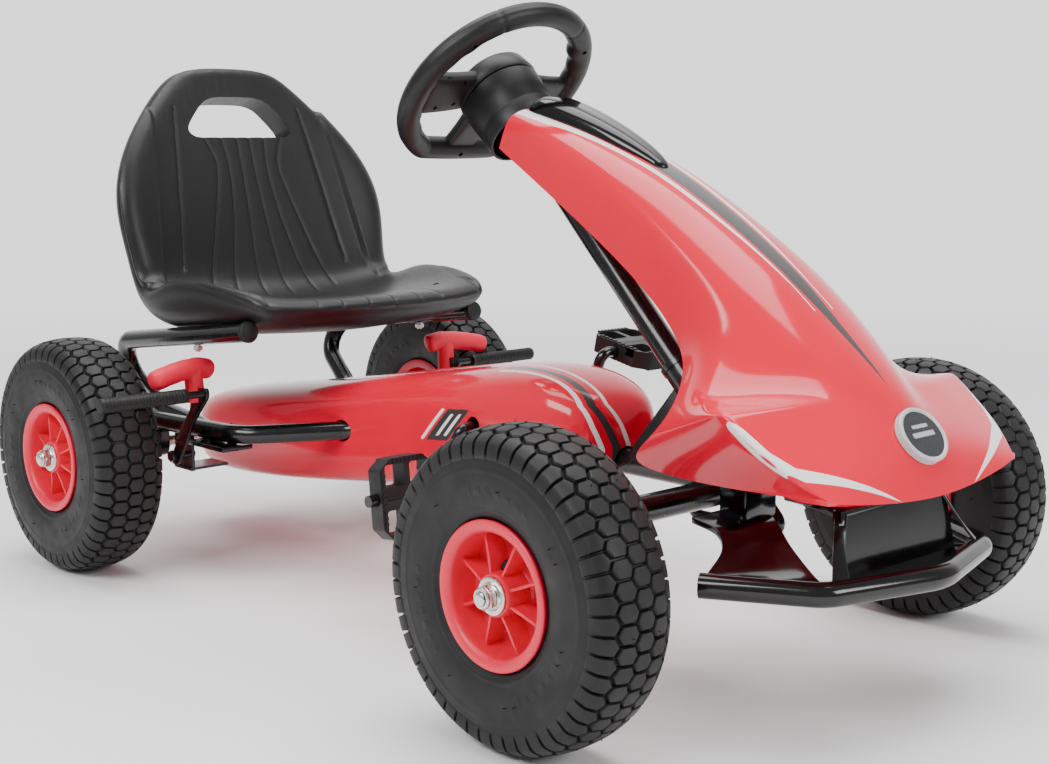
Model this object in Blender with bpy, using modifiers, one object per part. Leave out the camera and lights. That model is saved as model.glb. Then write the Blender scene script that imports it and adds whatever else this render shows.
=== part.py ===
"""Child's pedal go kart.

Metres, +Z up, +X towards the nose, +Y towards the kart's left.
Geometry is laid out from the middle of the wheelbase on the ground; the root
empty then moves it so that the origin lies under the middle of the whole kart.
"""
import math

import bmesh
import bpy
from mathutils import Matrix, Vector

# ---------------------------------------------------------------- dimensions
CENTRE_SHIFT = 0.03976          # middle of the kart, forward of mid wheelbase
GAP = 0.0003                  # clearance between pieces that touch

WHEELBASE = 0.751
TYRE_R = 0.1325               # 4.10/3.50-4 tyre, 265 mm over the tread
TYRE_HALF_W = 0.0410
FRONT_TRACK = 0.558           # between the tyres' middle planes
REAR_TRACK = 0.540
RIM_SEAT_R = 0.0547
RIM_FLANGE_R = 0.0610
RIM_HALF_W = 0.0368
HUB_FACE = 0.0340             # outboard hub face from the wheel's middle
AXLE_R = 0.0060
BORE_R = 0.0064
NUT_BORE_R = 0.0073           # corners of the six-sided bore

FRONT_X = WHEELBASE / 2
REAR_X = -WHEELBASE / 2
FRONT_Y = FRONT_TRACK / 2
REAR_Y = REAR_TRACK / 2
AXLE_Z = TYRE_R

KINGPIN_Y = 0.205
BEAM_X = 0.355
BEAM_Z = 0.1675
TUBE_R = 0.0125
BACKBONE_Z = 0.1745

STEER_FOOT = Vector((0.388, 0.0, 0.173))       # column axis beside the beam
STEER_ANGLE = math.radians(46.13)              # column above the horizontal
STEER_DIR = Vector((-math.cos(STEER_ANGLE), 0.0, math.sin(STEER_ANGLE)))
TIE_X = 0.312                 # tie rods, behind the front beam
TIE_Z = 0.154
WHEEL_ALONG = 0.508           # steering wheel's plane along the column
WHEEL_R = 0.0995
WHEEL_FLAT = 0.088
WHEEL_GRIP_R = 0.0128

CRANK = Vector((0.079, 0.0, 0.198))
CRANK_ARM = 0.069
CRANK_REST = math.radians(67.9)                # left arm above +X at rest
CRANK_ARM_Y = 0.0895
PEDAL_Y = 0.142
CHAIN_Y = -0.032
CHAINRING_TEETH = 21
SPROCKET_TEETH = 14
CHAIN_PITCH = 0.0127

SEAT_RECLINE = 0.3046         # backward travel for each metre of height
SEAT_FOOT = Vector((-0.376, 0.0, 0.295))
RAIL_Y = 0.1625
RAIL_R = 0.0110

ARM_Z = 0.159
ARM_R = 0.0105
BEARING_Y = 0.169
BRAKE_Y = 0.184
BRAKE_PIVOT = (-0.308, 0.128)
BRAKE_BAR = (-0.2417, 0.2076)

PARTS = "pedal_go_kart"


# ---------------------------------------------------------------- helpers
for old in list(bpy.data.objects):
    bpy.data.objects.remove(old, do_unlink=True)

parts_col = bpy.data.collections.new(PARTS)
bpy.context.scene.collection.children.link(parts_col)


def material(name, rgb, roughness, metallic=0.0):
    """A Principled material of one colour."""
    mat = bpy.data.materials.new(name)
    mat.use_nodes = True
    bsdf = mat.node_tree.nodes["Principled BSDF"]
    bsdf.inputs["Base Color"].default_value = (*rgb, 1.0)
    bsdf.inputs["Roughness"].default_value = roughness
    bsdf.inputs["Metallic"].default_value = metallic
    mat.diffuse_color = (*rgb, 1.0)
    return mat


BLACK_PAINT = material("black_paint", (0.012, 0.012, 0.013), 0.22)
RED_PLASTIC = material("red_plastic", (0.78, 0.02, 0.03), 0.28)
RED_RIM = material("red_rim_plastic", (0.72, 0.02, 0.03), 0.35)
RED_RUBBER = material("red_soft_grip", (0.85, 0.05, 0.06), 0.5)
TYRE_RUBBER = material("tyre_rubber", (0.02, 0.02, 0.021), 0.75)
BLACK_RUBBER = material("black_rubber", (0.018, 0.018, 0.018), 0.65)
SATIN_PLASTIC = material("black_satin_plastic", (0.022, 0.021, 0.022), 0.45)
GLOSS_PLASTIC = material("black_gloss_plastic", (0.008, 0.008, 0.009), 0.12)
ZINC = material("zinc_plated_steel", (0.62, 0.62, 0.6), 0.3, 1.0)
CHAIN_STEEL = material("chain_steel", (0.2, 0.19, 0.18), 0.4, 1.0)
BADGE_GREY = material("badge_grey", (0.35, 0.36, 0.38), 0.3)


def add(name, mesh, mat=None):
    """A linked object that holds the mesh."""
    obj = bpy.data.objects.new(name, mesh)
    parts_col.objects.link(obj)
    if mat is not None:
        obj.data.materials.clear()
        obj.data.materials.append(mat)
    return obj


def from_bmesh(name, bm, mat=None):
    mesh = bpy.data.meshes.new(name)
    bm.to_mesh(mesh)
    bm.free()
    return add(name, mesh, mat)


def bake(obj):
    """Replace the object's mesh by its evaluated one, at the world origin."""
    bpy.context.view_layer.update()
    graph = bpy.context.evaluated_depsgraph_get()
    mesh = bpy.data.meshes.new_from_object(obj.evaluated_get(graph))
    mesh.transform(obj.matrix_world)
    bm = bmesh.new()
    bm.from_mesh(mesh)
    bmesh.ops.remove_doubles(bm, verts=bm.verts, dist=0.00002)
    bmesh.ops.recalc_face_normals(bm, faces=bm.faces)
    bm.to_mesh(mesh)
    bm.free()
    mats = list(obj.data.materials)
    name = obj.name
    bpy.data.objects.remove(obj, do_unlink=True)
    new = add(name, mesh)
    new.data.materials.clear()
    for mat in mats:
        new.data.materials.append(mat)
    new.name = name
    return new


def boolean(base, others, operation):
    """Apply Booleans with the other objects, which are used up."""
    for other in others:
        mod = base.modifiers.new(operation.lower(), "BOOLEAN")
        mod.operation = operation
        mod.solver = "EXACT"
        mod.object = other
    new = bake(base)
    for other in others:
        bpy.data.objects.remove(other, do_unlink=True)
    return new


def union(base, *others):
    return boolean(base, others, "UNION")


def cut(base, *others):
    return boolean(base, others, "DIFFERENCE")


def box(name, size, centre, mat=None, turn=None, bevel=0.0):
    """A box of that size, turned about its own centre."""
    bm = bmesh.new()
    bmesh.ops.create_cube(bm, size=1.0)
    bmesh.ops.scale(bm, vec=size, verts=bm.verts)
    if bevel:
        bmesh.ops.bevel(bm, geom=bm.edges[:], offset=bevel, segments=1, affect="EDGES")
    matrix = Matrix.Translation(centre)
    if turn is not None:
        matrix = matrix @ turn.to_4x4()
    bmesh.ops.transform(bm, matrix=matrix, verts=bm.verts)
    return from_bmesh(name, bm, mat)


def rod(name, start, end, radius, mat=None, sides=12, end_radius=None):
    """A straight round bar, or a cone, from start to end."""
    start = Vector(start)
    end = Vector(end)
    along = end - start
    bm = bmesh.new()
    bmesh.ops.create_cone(
        bm, cap_ends=True, segments=sides, radius1=radius,
        radius2=radius if end_radius is None else end_radius, depth=along.length)
    turn = along.to_track_quat("Z", "Y").to_matrix().to_4x4()
    bmesh.ops.transform(bm, matrix=Matrix.Translation((start + end) / 2) @ turn, verts=bm.verts)
    return from_bmesh(name, bm, mat)


def rounded(points, radius, count=4):
    """The same route with each inner corner turned into an arc."""
    points = [Vector(p) for p in points]
    radii = radius if isinstance(radius, (list, tuple)) else [radius] * len(points)
    route = [points[0]]
    for i in range(1, len(points) - 1):
        before = (points[i - 1] - points[i]).normalized()
        after = (points[i + 1] - points[i]).normalized()
        half = before.angle(after) / 2
        reach = radii[i] / math.tan(half)
        centre = points[i] + (before + after).normalized() * (radii[i] / math.sin(half))
        first = points[i] + before * reach - centre
        last = points[i] + after * reach - centre
        total = first.angle(last)
        for k in range(count + 1):
            share = k / count
            route.append(centre + (first * math.sin((1 - share) * total)
                                   + last * math.sin(share * total)) / math.sin(total))
    route.append(points[-1])
    return route


def tube(name, route, radius, mat=None, resolution=3, cyclic=False):
    """A round tube along a route, from a bevelled curve with filled ends."""
    data = bpy.data.curves.new(name, "CURVE")
    data.dimensions = "3D"
    data.bevel_depth = radius
    data.bevel_resolution = resolution
    data.use_fill_caps = True
    spline = data.splines.new("POLY")
    spline.points.add(len(route) - 1)
    for point, place in zip(spline.points, route):
        point.co = (*place, 1.0)
    spline.use_cyclic_u = cyclic
    obj = bpy.data.objects.new(name, data)
    parts_col.objects.link(obj)
    if mat is not None:
        data.materials.append(mat)
    return bake(obj)


def plate(name, outline, thickness, matrix, mat=None, holes=(), hole_sides=10):
    """A flat plate with round holes: its outline lies in the matrix's XY plane."""
    data = bpy.data.curves.new(name, "CURVE")
    data.dimensions = "2D"
    data.fill_mode = "BOTH"
    data.extrude = thickness / 2
    loops = [outline]
    for x, y, radius in holes:
        loops.append([(x + radius * math.cos(a), y + radius * math.sin(a))
                      for a in [2 * math.pi * k / hole_sides for k in range(hole_sides)]])
    for loop in loops:
        spline = data.splines.new("POLY")
        spline.points.add(len(loop) - 1)
        for point, (x, y) in zip(spline.points, loop):
            point.co = (x, y, 0.0, 1.0)
        spline.use_cyclic_u = True
    obj = bpy.data.objects.new(name, data)
    parts_col.objects.link(obj)
    obj.matrix_world = matrix
    if mat is not None:
        data.materials.append(mat)
    return bake(obj)


def lathe(name, profile, steps, mat=None, matrix=None):
    """A turned solid from (radius, height) points, closed unless both ends are on the axis."""
    mesh = bpy.data.meshes.new(name)
    verts = [(r, 0.0, z) for r, z in profile]
    edges = [(i, (i + 1) % len(verts)) for i in range(len(verts))]
    if profile[0][0] == 0.0 and profile[-1][0] == 0.0:
        edges.pop()
    mesh.from_pydata(verts, edges, [])
    obj = add(name, mesh, mat)
    mod = obj.modifiers.new("screw", "SCREW")
    mod.axis = "Z"
    mod.steps = steps
    mod.render_steps = steps
    mod.use_merge_vertices = True
    mod.merge_threshold = 0.00005
    if matrix is not None:
        obj.matrix_world = matrix
    return bake(obj)


def ring_loft(name, rings, mat=None, levels=0):
    """A closed solid through rings of equal length, with an end cap on each."""
    bm = bmesh.new()
    loops = [[bm.verts.new(p) for p in ring] for ring in rings]
    count = len(rings[0])
    for a, b in zip(loops[:-1], loops[1:]):
        for k in range(count):
            bm.faces.new((a[k], a[(k + 1) % count], b[(k + 1) % count], b[k]))
    bm.faces.new(list(reversed(loops[0])))
    bm.faces.new(loops[-1])
    bmesh.ops.recalc_face_normals(bm, faces=bm.faces)
    obj = from_bmesh(name, bm, mat)
    if levels:
        mod = obj.modifiers.new("soft", "SUBSURF")
        mod.levels = levels
        mod.render_levels = levels
    return bake(obj)


def smooth(obj, angle=40):
    obj.data.shade_smooth()
    obj.data.set_sharp_from_angle(angle=math.radians(angle))


def mirrored(obj, name, swap=None):
    """A copy of the object on the other side of the kart."""
    mesh = obj.data.copy()
    mesh.transform(Matrix.Diagonal((1.0, -1.0, 1.0, 1.0)))
    mesh.flip_normals()
    new = add(name, mesh)
    new.data.materials.clear()
    for mat in obj.data.materials:
        new.data.materials.append(swap or mat)
    return new


def circle(radius, count, start=0.0):
    return [(radius * math.cos(start + 2 * math.pi * k / count),
             radius * math.sin(start + 2 * math.pi * k / count)) for k in range(count)]


UPRIGHT_ALONG_Y = Matrix.Rotation(math.radians(90), 4, "X")      # XY plane -> XZ plane

# ---------------------------------------------------------------- wheels
TYRE_PROFILE = [
    (0.0622, 0.0340), (0.0780, 0.0402), (0.0980, TYRE_HALF_W), (0.1180, 0.0372),
    (0.1290, 0.0280), (TYRE_R, 0.0150),
]
TYRE_PROFILE = (TYRE_PROFILE + [(r, -z) for r, z in reversed(TYRE_PROFILE)]
                + [(RIM_SEAT_R + 0.0008, -0.0340), (RIM_SEAT_R + 0.0008, 0.0340)])

RIM_PROFILE = [
    (RIM_FLANGE_R, RIM_HALF_W), (RIM_FLANGE_R, 0.0344), (RIM_SEAT_R, 0.0344),
    (RIM_SEAT_R, -0.0344), (RIM_FLANGE_R, -0.0344), (RIM_FLANGE_R, -RIM_HALF_W),
    (0.0500, -RIM_HALF_W), (0.0478, 0.0040), (0.0180, 0.0040), (0.0180, -0.0280),
    (BORE_R, -0.0280), (BORE_R, HUB_FACE), (0.0160, HUB_FACE), (0.0180, 0.0090),
    (0.0462, 0.0090), (0.0525, RIM_HALF_W),
]
WASHER_PROFILE = [
    (0.0155, HUB_FACE + GAP), (0.0155, HUB_FACE + 0.0018),
    (0.0105, HUB_FACE + 0.0042), (BORE_R, HUB_FACE + 0.0042), (BORE_R, HUB_FACE + GAP),
]
WASHER_PROFILE = list(reversed(WASHER_PROFILE))
NUT_PROFILE = [
    (0.0100, HUB_FACE + 0.0115), (0.0106, HUB_FACE + 0.0100), (0.0106, HUB_FACE + 0.0046),
    (NUT_BORE_R, HUB_FACE + 0.0046), (NUT_BORE_R, HUB_FACE + 0.0130), (0.0090, HUB_FACE + 0.0130),
]
RIB_COUNT = 8


def wheel(tag, x, y):
    """Tyre, rim, hub washer and lock nut of one wheel, outboard side outwards."""
    side = 1.0 if y > 0 else -1.0
    matrix = Matrix.Translation((x, y, AXLE_Z)) @ Matrix.Rotation(-side * math.pi / 2, 4, "X")
    tyre = lathe("tyre_" + tag, TYRE_PROFILE, 28, TYRE_RUBBER, matrix)
    rim = lathe("rim_" + tag, RIM_PROFILE, 20, RED_RIM)
    ribs = []
    for k in range(RIB_COUNT):
        spin = Matrix.Rotation(2 * math.pi * (k + 0.5) / RIB_COUNT, 4, "Z")
        rib = box("rib", (0.0325, 0.0036, 0.0195), (0.0328, 0.0, 0.0165))
        rib.data.transform(spin)
        ribs.append(rib)
    rim = union(rim, *ribs)
    rim.matrix_world = matrix
    rim = bake(rim)
    washer = lathe("hub_washer_" + tag, WASHER_PROFILE, 12, ZINC, matrix)
    nut = lathe("axle_nut_" + tag, NUT_PROFILE, 6, ZINC, matrix)
    for obj in (tyre, rim, washer):
        smooth(obj)
    return [tyre, rim, washer, nut]


wheel_fl = wheel("front_left", FRONT_X, FRONT_Y)
wheel_fr = wheel("front_right", FRONT_X, -FRONT_Y)
wheel_rl = wheel("rear_left", REAR_X, REAR_Y)
wheel_rr = wheel("rear_right", REAR_X, -REAR_Y)

# ---------------------------------------------------------------- front axle
beam = rod("front_beam", (BEAM_X, -KINGPIN_Y + 0.002, BEAM_Z), (BEAM_X, KINGPIN_Y - 0.002, BEAM_Z),
           TUBE_R, BLACK_PAINT, 12)
sleeves = []
bores = []
for side in (1, -1):
    sleeves.append(rod("sleeve", (FRONT_X, side * KINGPIN_Y, 0.1485),
                       (FRONT_X, side * KINGPIN_Y, 0.1885), 0.0112, None, 12))
    bores.append(rod("bore", (FRONT_X, side * KINGPIN_Y, 0.140),
                     (FRONT_X, side * KINGPIN_Y, 0.200), BORE_R, None, 12))
beam = union(beam, *sleeves)
beam = cut(beam, *bores)

STUB_END = FRONT_Y + HUB_FACE + 0.0150 - KINGPIN_Y
kingpin = rod("knuckle_left", (FRONT_X, KINGPIN_Y, 0.125), (FRONT_X, KINGPIN_Y, 0.1955),
              AXLE_R, BLACK_PAINT, 12)
block = box("block", (0.024, 0.022, 0.0225), (FRONT_X, KINGPIN_Y, 0.13675), bevel=0.002)
stub = rod("stub", (FRONT_X, KINGPIN_Y + 0.004, AXLE_Z), (FRONT_X, KINGPIN_Y + STUB_END, AXLE_Z),
           AXLE_R, None, 12)
arm = plate("arm", [(0.008, -0.009), (0.008, 0.009), (-0.060, 0.0085), (-0.0705, 0.004),
                    (-0.0705, -0.004), (-0.060, -0.0085)], 0.006,
            Matrix.Translation((FRONT_X, KINGPIN_Y, 0.1415)))
pin = rod("pin", (TIE_X, KINGPIN_Y, 0.142), (TIE_X, KINGPIN_Y, 0.1605), 0.0038, None, 8)
knuckle_l = union(kingpin, block, stub, arm, pin)
cap = rod("cap", (FRONT_X, KINGPIN_Y, 0.1889), (FRONT_X, KINGPIN_Y, 0.1935), 0.0100, None, 6)
knuckle_l = union(knuckle_l, cap)
knuckle_r = mirrored(knuckle_l, "knuckle_right")


def tie_rod(name, side, level):
    """A tie rod with a small eye on the knuckle and a large, loose one inboard."""
    bar = rod(name, (TIE_X, side * 0.020, TIE_Z), (TIE_X, side * (KINGPIN_Y - 0.006), TIE_Z),
              0.0034, BLACK_PAINT, 8)
    eye = plate("eye", circle(0.0085, 12), 0.006,
                Matrix.Translation((TIE_X, side * KINGPIN_Y, TIE_Z)))
    loop = circle(0.0122, 16)
    tab = plate("tab", loop, 0.0034, Matrix.Translation((TIE_X, 0.0, level)))
    neck = box("neck", (0.010, 0.016, 0.0034), (TIE_X, side * 0.0175, level))
    bar = union(bar, eye, tab, neck)
    return cut(bar, rod("hole", (TIE_X, side * KINGPIN_Y, 0.14), (TIE_X, side * KINGPIN_Y, 0.17),
                        0.0042, None, 12),
               rod("hole", (TIE_X, 0.0, 0.14), (TIE_X, 0.0, 0.17), 0.0092, None, 16))


tie_l = tie_rod("tie_rod_left", 1, TIE_Z - 0.0021)
tie_r = tie_rod("tie_rod_right", -1, TIE_Z + 0.0021)

# ---------------------------------------------------------------- steering


def along_column(distance, lift=0.0, y=0.0):
    """A point beside the column axis, distance up from the beam."""
    normal = Vector((math.sin(STEER_ANGLE), 0.0, math.cos(STEER_ANGLE)))
    return STEER_FOOT + STEER_DIR * distance + normal * lift + Vector((0.0, y, 0.0))


COLUMN_FRAME = Matrix.Translation(STEER_FOOT) @ Matrix((
    (0.0, math.sin(STEER_ANGLE), STEER_DIR.x, 0.0),
    (-1.0, 0.0, 0.0, 0.0),
    (0.0, math.cos(STEER_ANGLE), STEER_DIR.z, 0.0),
    (0.0, 0.0, 0.0, 1.0)))


def column_at(distance):
    return COLUMN_FRAME @ Matrix.Translation((0.0, 0.0, distance))


rod_route = rounded([along_column(WHEEL_ALONG - 0.012), (0.4235, 0.0, STEER_FOOT.z - (0.4235 - STEER_FOOT.x)
                     * math.tan(STEER_ANGLE)), (TIE_X, 0.0, 0.1365), (TIE_X, 0.0, 0.1600)],
                    [0, 0.0085, 0.0080, 0], 4)
steering_rod = tube("steering_rod", rod_route, 0.0055, BLACK_PAINT, 2)

column_tube = lathe("column_tube", [(0.0128, 0.400), (0.0128, 0.075), (0.0105, 0.075), (0.0105, 0.400)],
                    16, BLACK_PAINT, column_at(0.0))

grip_route = []
for k in range(28):
    a = 2 * math.pi * (k + 0.5) / 28
    x = WHEEL_R * math.cos(a)
    y = WHEEL_R * math.sin(a)
    if y < -WHEEL_FLAT:
        y = -WHEEL_FLAT - 0.12 * (-WHEEL_FLAT - y)
    grip_route.append((x, y, 0.0))
grip = tube("steering_wheel", grip_route, WHEEL_GRIP_R, SATIN_PLASTIC, 2, cyclic=True)
left_spoke = box("spoke", (0.075, 0.046, 0.016), (-0.060, -0.008, -0.001), bevel=0.003)
right_spoke = box("spoke", (0.075, 0.046, 0.016), (0.060, -0.008, -0.001), bevel=0.003)
low_spoke = box("spoke", (0.034, 0.055, 0.014), (0.0, -0.060, -0.001), bevel=0.003)
hub = rod("hub", (0, 0, -0.012), (0, 0, 0.012), 0.044, None, 20, 0.038)
wheel_body = union(grip, left_spoke, right_spoke, low_spoke, hub)
wheel_body = cut(wheel_body, rod("hole", (0, 0, -0.02), (0, 0, -0.006), 0.0060, None, 12))
wheel_body.matrix_world = column_at(WHEEL_ALONG)
wheel_body = bake(wheel_body)

boss = lathe("steering_boss", [
    (0.0432, WHEEL_ALONG - 0.0125), (0.0425, WHEEL_ALONG - 0.030), (0.0400, WHEEL_ALONG - 0.066),
    (0.0375, WHEEL_ALONG - 0.066), (0.0400, WHEEL_ALONG - 0.030), (0.0360, WHEEL_ALONG - 0.022),
    (0.0059, WHEEL_ALONG - 0.022), (0.0059, WHEEL_ALONG - 0.0125)], 20, SATIN_PLASTIC, column_at(0.0))

# ---------------------------------------------------------------- backbone
backbone = rod("backbone", (-0.310, 0.0, BACKBONE_Z), (BEAM_X - TUBE_R - 0.0006, 0.0, BACKBONE_Z),
               TUBE_R, BLACK_PAINT, 12)
shell = rod("shell", (CRANK.x, -0.022, CRANK.z), (CRANK.x, 0.022, CRANK.z), 0.0130, None, 12)
socket = rod("socket", along_column(0.145), along_column(0.030), 0.0156, None, 16)
gusset = []
for side in (1, -1):
    gusset.append(plate("gusset", [(0.232, 0.180), (0.3415, 0.180), (0.3415, 0.222), (0.300, 0.262)],
                        0.004, Matrix.Translation((0.0, side * 0.0085, 0.0)) @ UPRIGHT_ALONG_Y))
backbone = union(backbone, shell, socket, *gusset)
backbone = cut(backbone,
               rod("bore", (CRANK.x, -0.03, CRANK.z), (CRANK.x, 0.03, CRANK.z), 0.0066, None, 12),
               rod("bore", along_column(0.200), along_column(-0.010), 0.01315, None, 16))

# ---------------------------------------------------------------- rear arms
arm_route = rounded([(-0.045, 0.0135 + GAP, ARM_Z + 0.010), (-0.150, 0.052, ARM_Z + 0.003),
                     (-0.222, 0.152, ARM_Z), (-0.398, 0.171, ARM_Z)], [0, 0.04, 0.05, 0], 4)
rear_arm_l = tube("rear_arm_left", arm_route, ARM_R, BLACK_PAINT, 3)
web = box("web", (0.036, 0.004, 0.046), (-0.322, 0.1635, 0.1305))
shelf = box("shelf", (0.036, 0.050, 0.003), (-0.322, 0.1420, 0.1100))
pivot = rod("pivot", (BRAKE_PIVOT[0], 0.160, BRAKE_PIVOT[1]), (BRAKE_PIVOT[0], 0.190, BRAKE_PIVOT[1]),
            0.0038, None, 10)
head = rod("head", (BRAKE_PIVOT[0], 0.1870, BRAKE_PIVOT[1]), (BRAKE_PIVOT[0], 0.1905, BRAKE_PIVOT[1]),
           0.0065, None, 6)
rear_arm_l = union(rear_arm_l, web, shelf, pivot, head)
cutter = rod("cutter", (-0.5, 0.0, BACKBONE_Z), (0.2, 0.0, BACKBONE_Z), TUBE_R + GAP, None, 24)
rear_arm_l = cut(rear_arm_l, cutter)
rear_arm_r = mirrored(rear_arm_l, "rear_arm_right")

bearing_outline = [(-0.017, 0.0159), (-0.017, -0.004), (-0.010, -0.0150), (0.010, -0.0150),
                   (0.017, -0.004), (0.017, 0.0159)]
bearing_l = plate("bearing_left", bearing_outline, 0.016,
                  Matrix.Translation((REAR_X, BEARING_Y, AXLE_Z)) @ UPRIGHT_ALONG_Y, BLACK_PAINT,
                  [(0.0, 0.0, 0.0066)], 14)
bearing_r = mirrored(bearing_l, "bearing_right")

AXLE_END = REAR_Y + HUB_FACE + 0.0150
rear_axle = rod("rear_axle", (REAR_X, -AXLE_END, AXLE_Z), (REAR_X, AXLE_END, AXLE_Z), AXLE_R, ZINC, 12)


# ---------------------------------------------------------------- drive
def toothed(name, teeth, bore, centre, thickness):
    """A toothed wheel on the chain's plane."""
    pitch_r = CHAIN_PITCH / (2 * math.sin(math.pi / teeth))
    outline = []
    for k in range(teeth):
        a = 2 * math.pi * k / teeth
        step = 2 * math.pi / teeth
        outline.append(((pitch_r - 0.0032) * math.cos(a - 0.22 * step),
                        (pitch_r - 0.0032) * math.sin(a - 0.22 * step)))
        outline.append(((pitch_r - 0.0032) * math.cos(a + 0.22 * step),
                        (pitch_r - 0.0032) * math.sin(a + 0.22 * step)))
        outline.append(((pitch_r + 0.0026) * math.cos(a + 0.5 * step),
                        (pitch_r + 0.0026) * math.sin(a + 0.5 * step)))
    return plate(name, outline, thickness,
                 Matrix.Translation((centre[0], CHAIN_Y, centre[1])) @ UPRIGHT_ALONG_Y,
                 CHAIN_STEEL, [(0.0, 0.0, bore)], 12)


chainring = toothed("chainring", CHAINRING_TEETH, BORE_R, (CRANK.x, CRANK.z), 0.0030)
sprocket = toothed("rear_sprocket", SPROCKET_TEETH, BORE_R, (REAR_X, AXLE_Z), 0.0030)


def chain_loop(extra):
    """The outline round both toothed wheels, extra outside their pitch circles."""
    ring_r = CHAIN_PITCH / (2 * math.sin(math.pi / CHAINRING_TEETH)) + extra
    rear_r = CHAIN_PITCH / (2 * math.sin(math.pi / SPROCKET_TEETH)) + extra
    dx = CRANK.x - REAR_X
    dz = CRANK.z - AXLE_Z
    slope = math.atan2(dz, dx)
    lean = math.asin((ring_r - rear_r) / math.hypot(dx, dz))
    points = []
    for k in range(13):
        a = slope - math.pi / 2 - lean + k / 12 * (math.pi + 2 * lean)
        points.append((CRANK.x + ring_r * math.cos(a), CRANK.z + ring_r * math.sin(a)))
    for k in range(13):
        a = slope + math.pi / 2 + lean + k / 12 * (math.pi - 2 * lean)
        points.append((REAR_X + rear_r * math.cos(a), AXLE_Z + rear_r * math.sin(a)))
    return points


chain = plate("chain", chain_loop(0.0066), 0.0070,
              Matrix.Translation((0.0, CHAIN_Y, 0.0)) @ UPRIGHT_ALONG_Y, CHAIN_STEEL)
chain = cut(chain, plate("hole", chain_loop(0.0038), 0.0200,
                         Matrix.Translation((0.0, CHAIN_Y, 0.0)) @ UPRIGHT_ALONG_Y))

arm_step = Vector((math.cos(CRANK_REST), 0.0, math.sin(CRANK_REST))) * CRANK_ARM
left_pin = CRANK + arm_step
right_pin = CRANK - arm_step
crank_route = rounded([
    right_pin + Vector((0, -0.186, 0)), right_pin + Vector((0, -CRANK_ARM_Y, 0)),
    CRANK + Vector((0, -CRANK_ARM_Y, 0)), CRANK + Vector((0, CRANK_ARM_Y, 0)),
    left_pin + Vector((0, CRANK_ARM_Y, 0)), left_pin + Vector((0, 0.186, 0))],
    [0, 0.011, 0.011, 0.011, 0.011, 0], 3)
crank = tube("crank", crank_route, AXLE_R, BLACK_PAINT, 3)


def pedal(name, centre, side, tilt):
    """A moulded frame pedal round its pin, with cross bars front and back."""
    outline = [(-0.040, -0.020), (-0.030, -0.034), (0.030, -0.034), (0.042, -0.022),
               (0.042, 0.022), (0.030, 0.034), (-0.030, 0.034), (-0.040, 0.020)]
    matrix = Matrix.Translation((centre.x, side * PEDAL_Y, centre.z)) @ Matrix.Rotation(tilt, 4, "Y")
    body = plate(name, outline, 0.020, matrix, BLACK_RUBBER)
    holes = []
    for x0, x1 in ((-0.034, -0.0115), (0.0115, 0.036)):
        for y in (-0.0155, 0.0155):
            hole = box("hole", (x1 - x0, 0.0245, 0.030), ((x0 + x1) / 2, y, 0.0))
            hole.data.transform(matrix)
            holes.append(hole)
    holes.append(rod("hole", (centre.x, side * 0.09, centre.z), (centre.x, side * 0.195, centre.z),
                     BORE_R, None, 12))
    return cut(body, *holes)


pedal_l = pedal("pedal_left", left_pin, 1, math.radians(12))
pedal_r = pedal("pedal_right", right_pin, -1, math.radians(84))

# ---------------------------------------------------------------- chain cover
COVER = (
    # x, bottom, top, half width
    (-0.4900, 0.0900, 0.1520, 0.0340),
    (-0.4740, 0.0740, 0.1680, 0.0560),
    (-0.4350, 0.0670, 0.1800, 0.0680),
    (-0.3400, 0.0710, 0.1960, 0.0710),
    (-0.2200, 0.0840, 0.2120, 0.0660),
    (-0.1000, 0.1000, 0.2330, 0.0640),
    (0.0000, 0.1150, 0.2500, 0.0700),
    (0.0900, 0.1290, 0.2640, 0.0770),
    (0.1550, 0.1400, 0.2660, 0.0790),
    (0.2040, 0.1520, 0.2500, 0.0690),
    (0.2260, 0.1600, 0.2260, 0.0460),
)


def cover_solid(name, inset, mat=None):
    rings = []
    for i, (x, low, high, half) in enumerate(COVER):
        if i == 0:
            x = x + inset
        if i == len(COVER) - 1:
            x = x - inset
        mid = (low + high) / 2
        tall = (high - low) / 2 - inset
        wide = half - inset
        ring = []
        for k in range(8):
            a = 2 * math.pi * (k + 0.5) / 8
            squash = 0.54
            c = math.cos(a)
            s = math.sin(a)
            ring.append((x, wide * math.copysign(abs(c) ** squash, c),
                         mid + tall * math.copysign(abs(s) ** squash, s)))
        rings.append(ring)
    return ring_loft(name, rings, mat, 1)


chain_cover = cover_solid("chain_cover", 0.0, RED_PLASTIC)
holes = [cover_solid("hollow", 0.0030)]
holes.append(rod("hole", (0.060, 0.0, BACKBONE_Z), (0.300, 0.0, BACKBONE_Z), 0.0150, None, 16))
holes.append(rod("hole", (CRANK.x, -0.100, CRANK.z), (CRANK.x, 0.100, CRANK.z), 0.0105, None, 12))
holes.append(rod("hole", (REAR_X, -0.100, AXLE_Z), (REAR_X, 0.100, AXLE_Z), 0.0100, None, 12))
for side in (1, -1):
    route = [Vector((p.x, side * p.y, p.z)) for p in arm_route]
    holes.append(tube("hole", route, ARM_R + 0.0018, None, 2))
chain_cover = cut(chain_cover, *holes)

# ---------------------------------------------------------------- seat supports
rail_route = rounded([(-0.1885, RAIL_Y, 0.2787), (-0.4480, RAIL_Y, 0.2473), (-0.4720, 0.150, 0.2120),
                      (-0.4080, 0.139, 0.1640), (-0.3300, 0.139, 0.1560), (-0.2850, 0.141, 0.1470)],
                     [0, 0.026, 0.030, 0.040, 0.040, 0], 3)
rail_l = tube("seat_rail_left", rail_route, RAIL_R, BLACK_PAINT, 3)
tab = box("tab", (0.072, 0.040, 0.0070), (-0.258, 0.1560, 0.1446))
rail_l = union(rail_l, tab)

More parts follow.
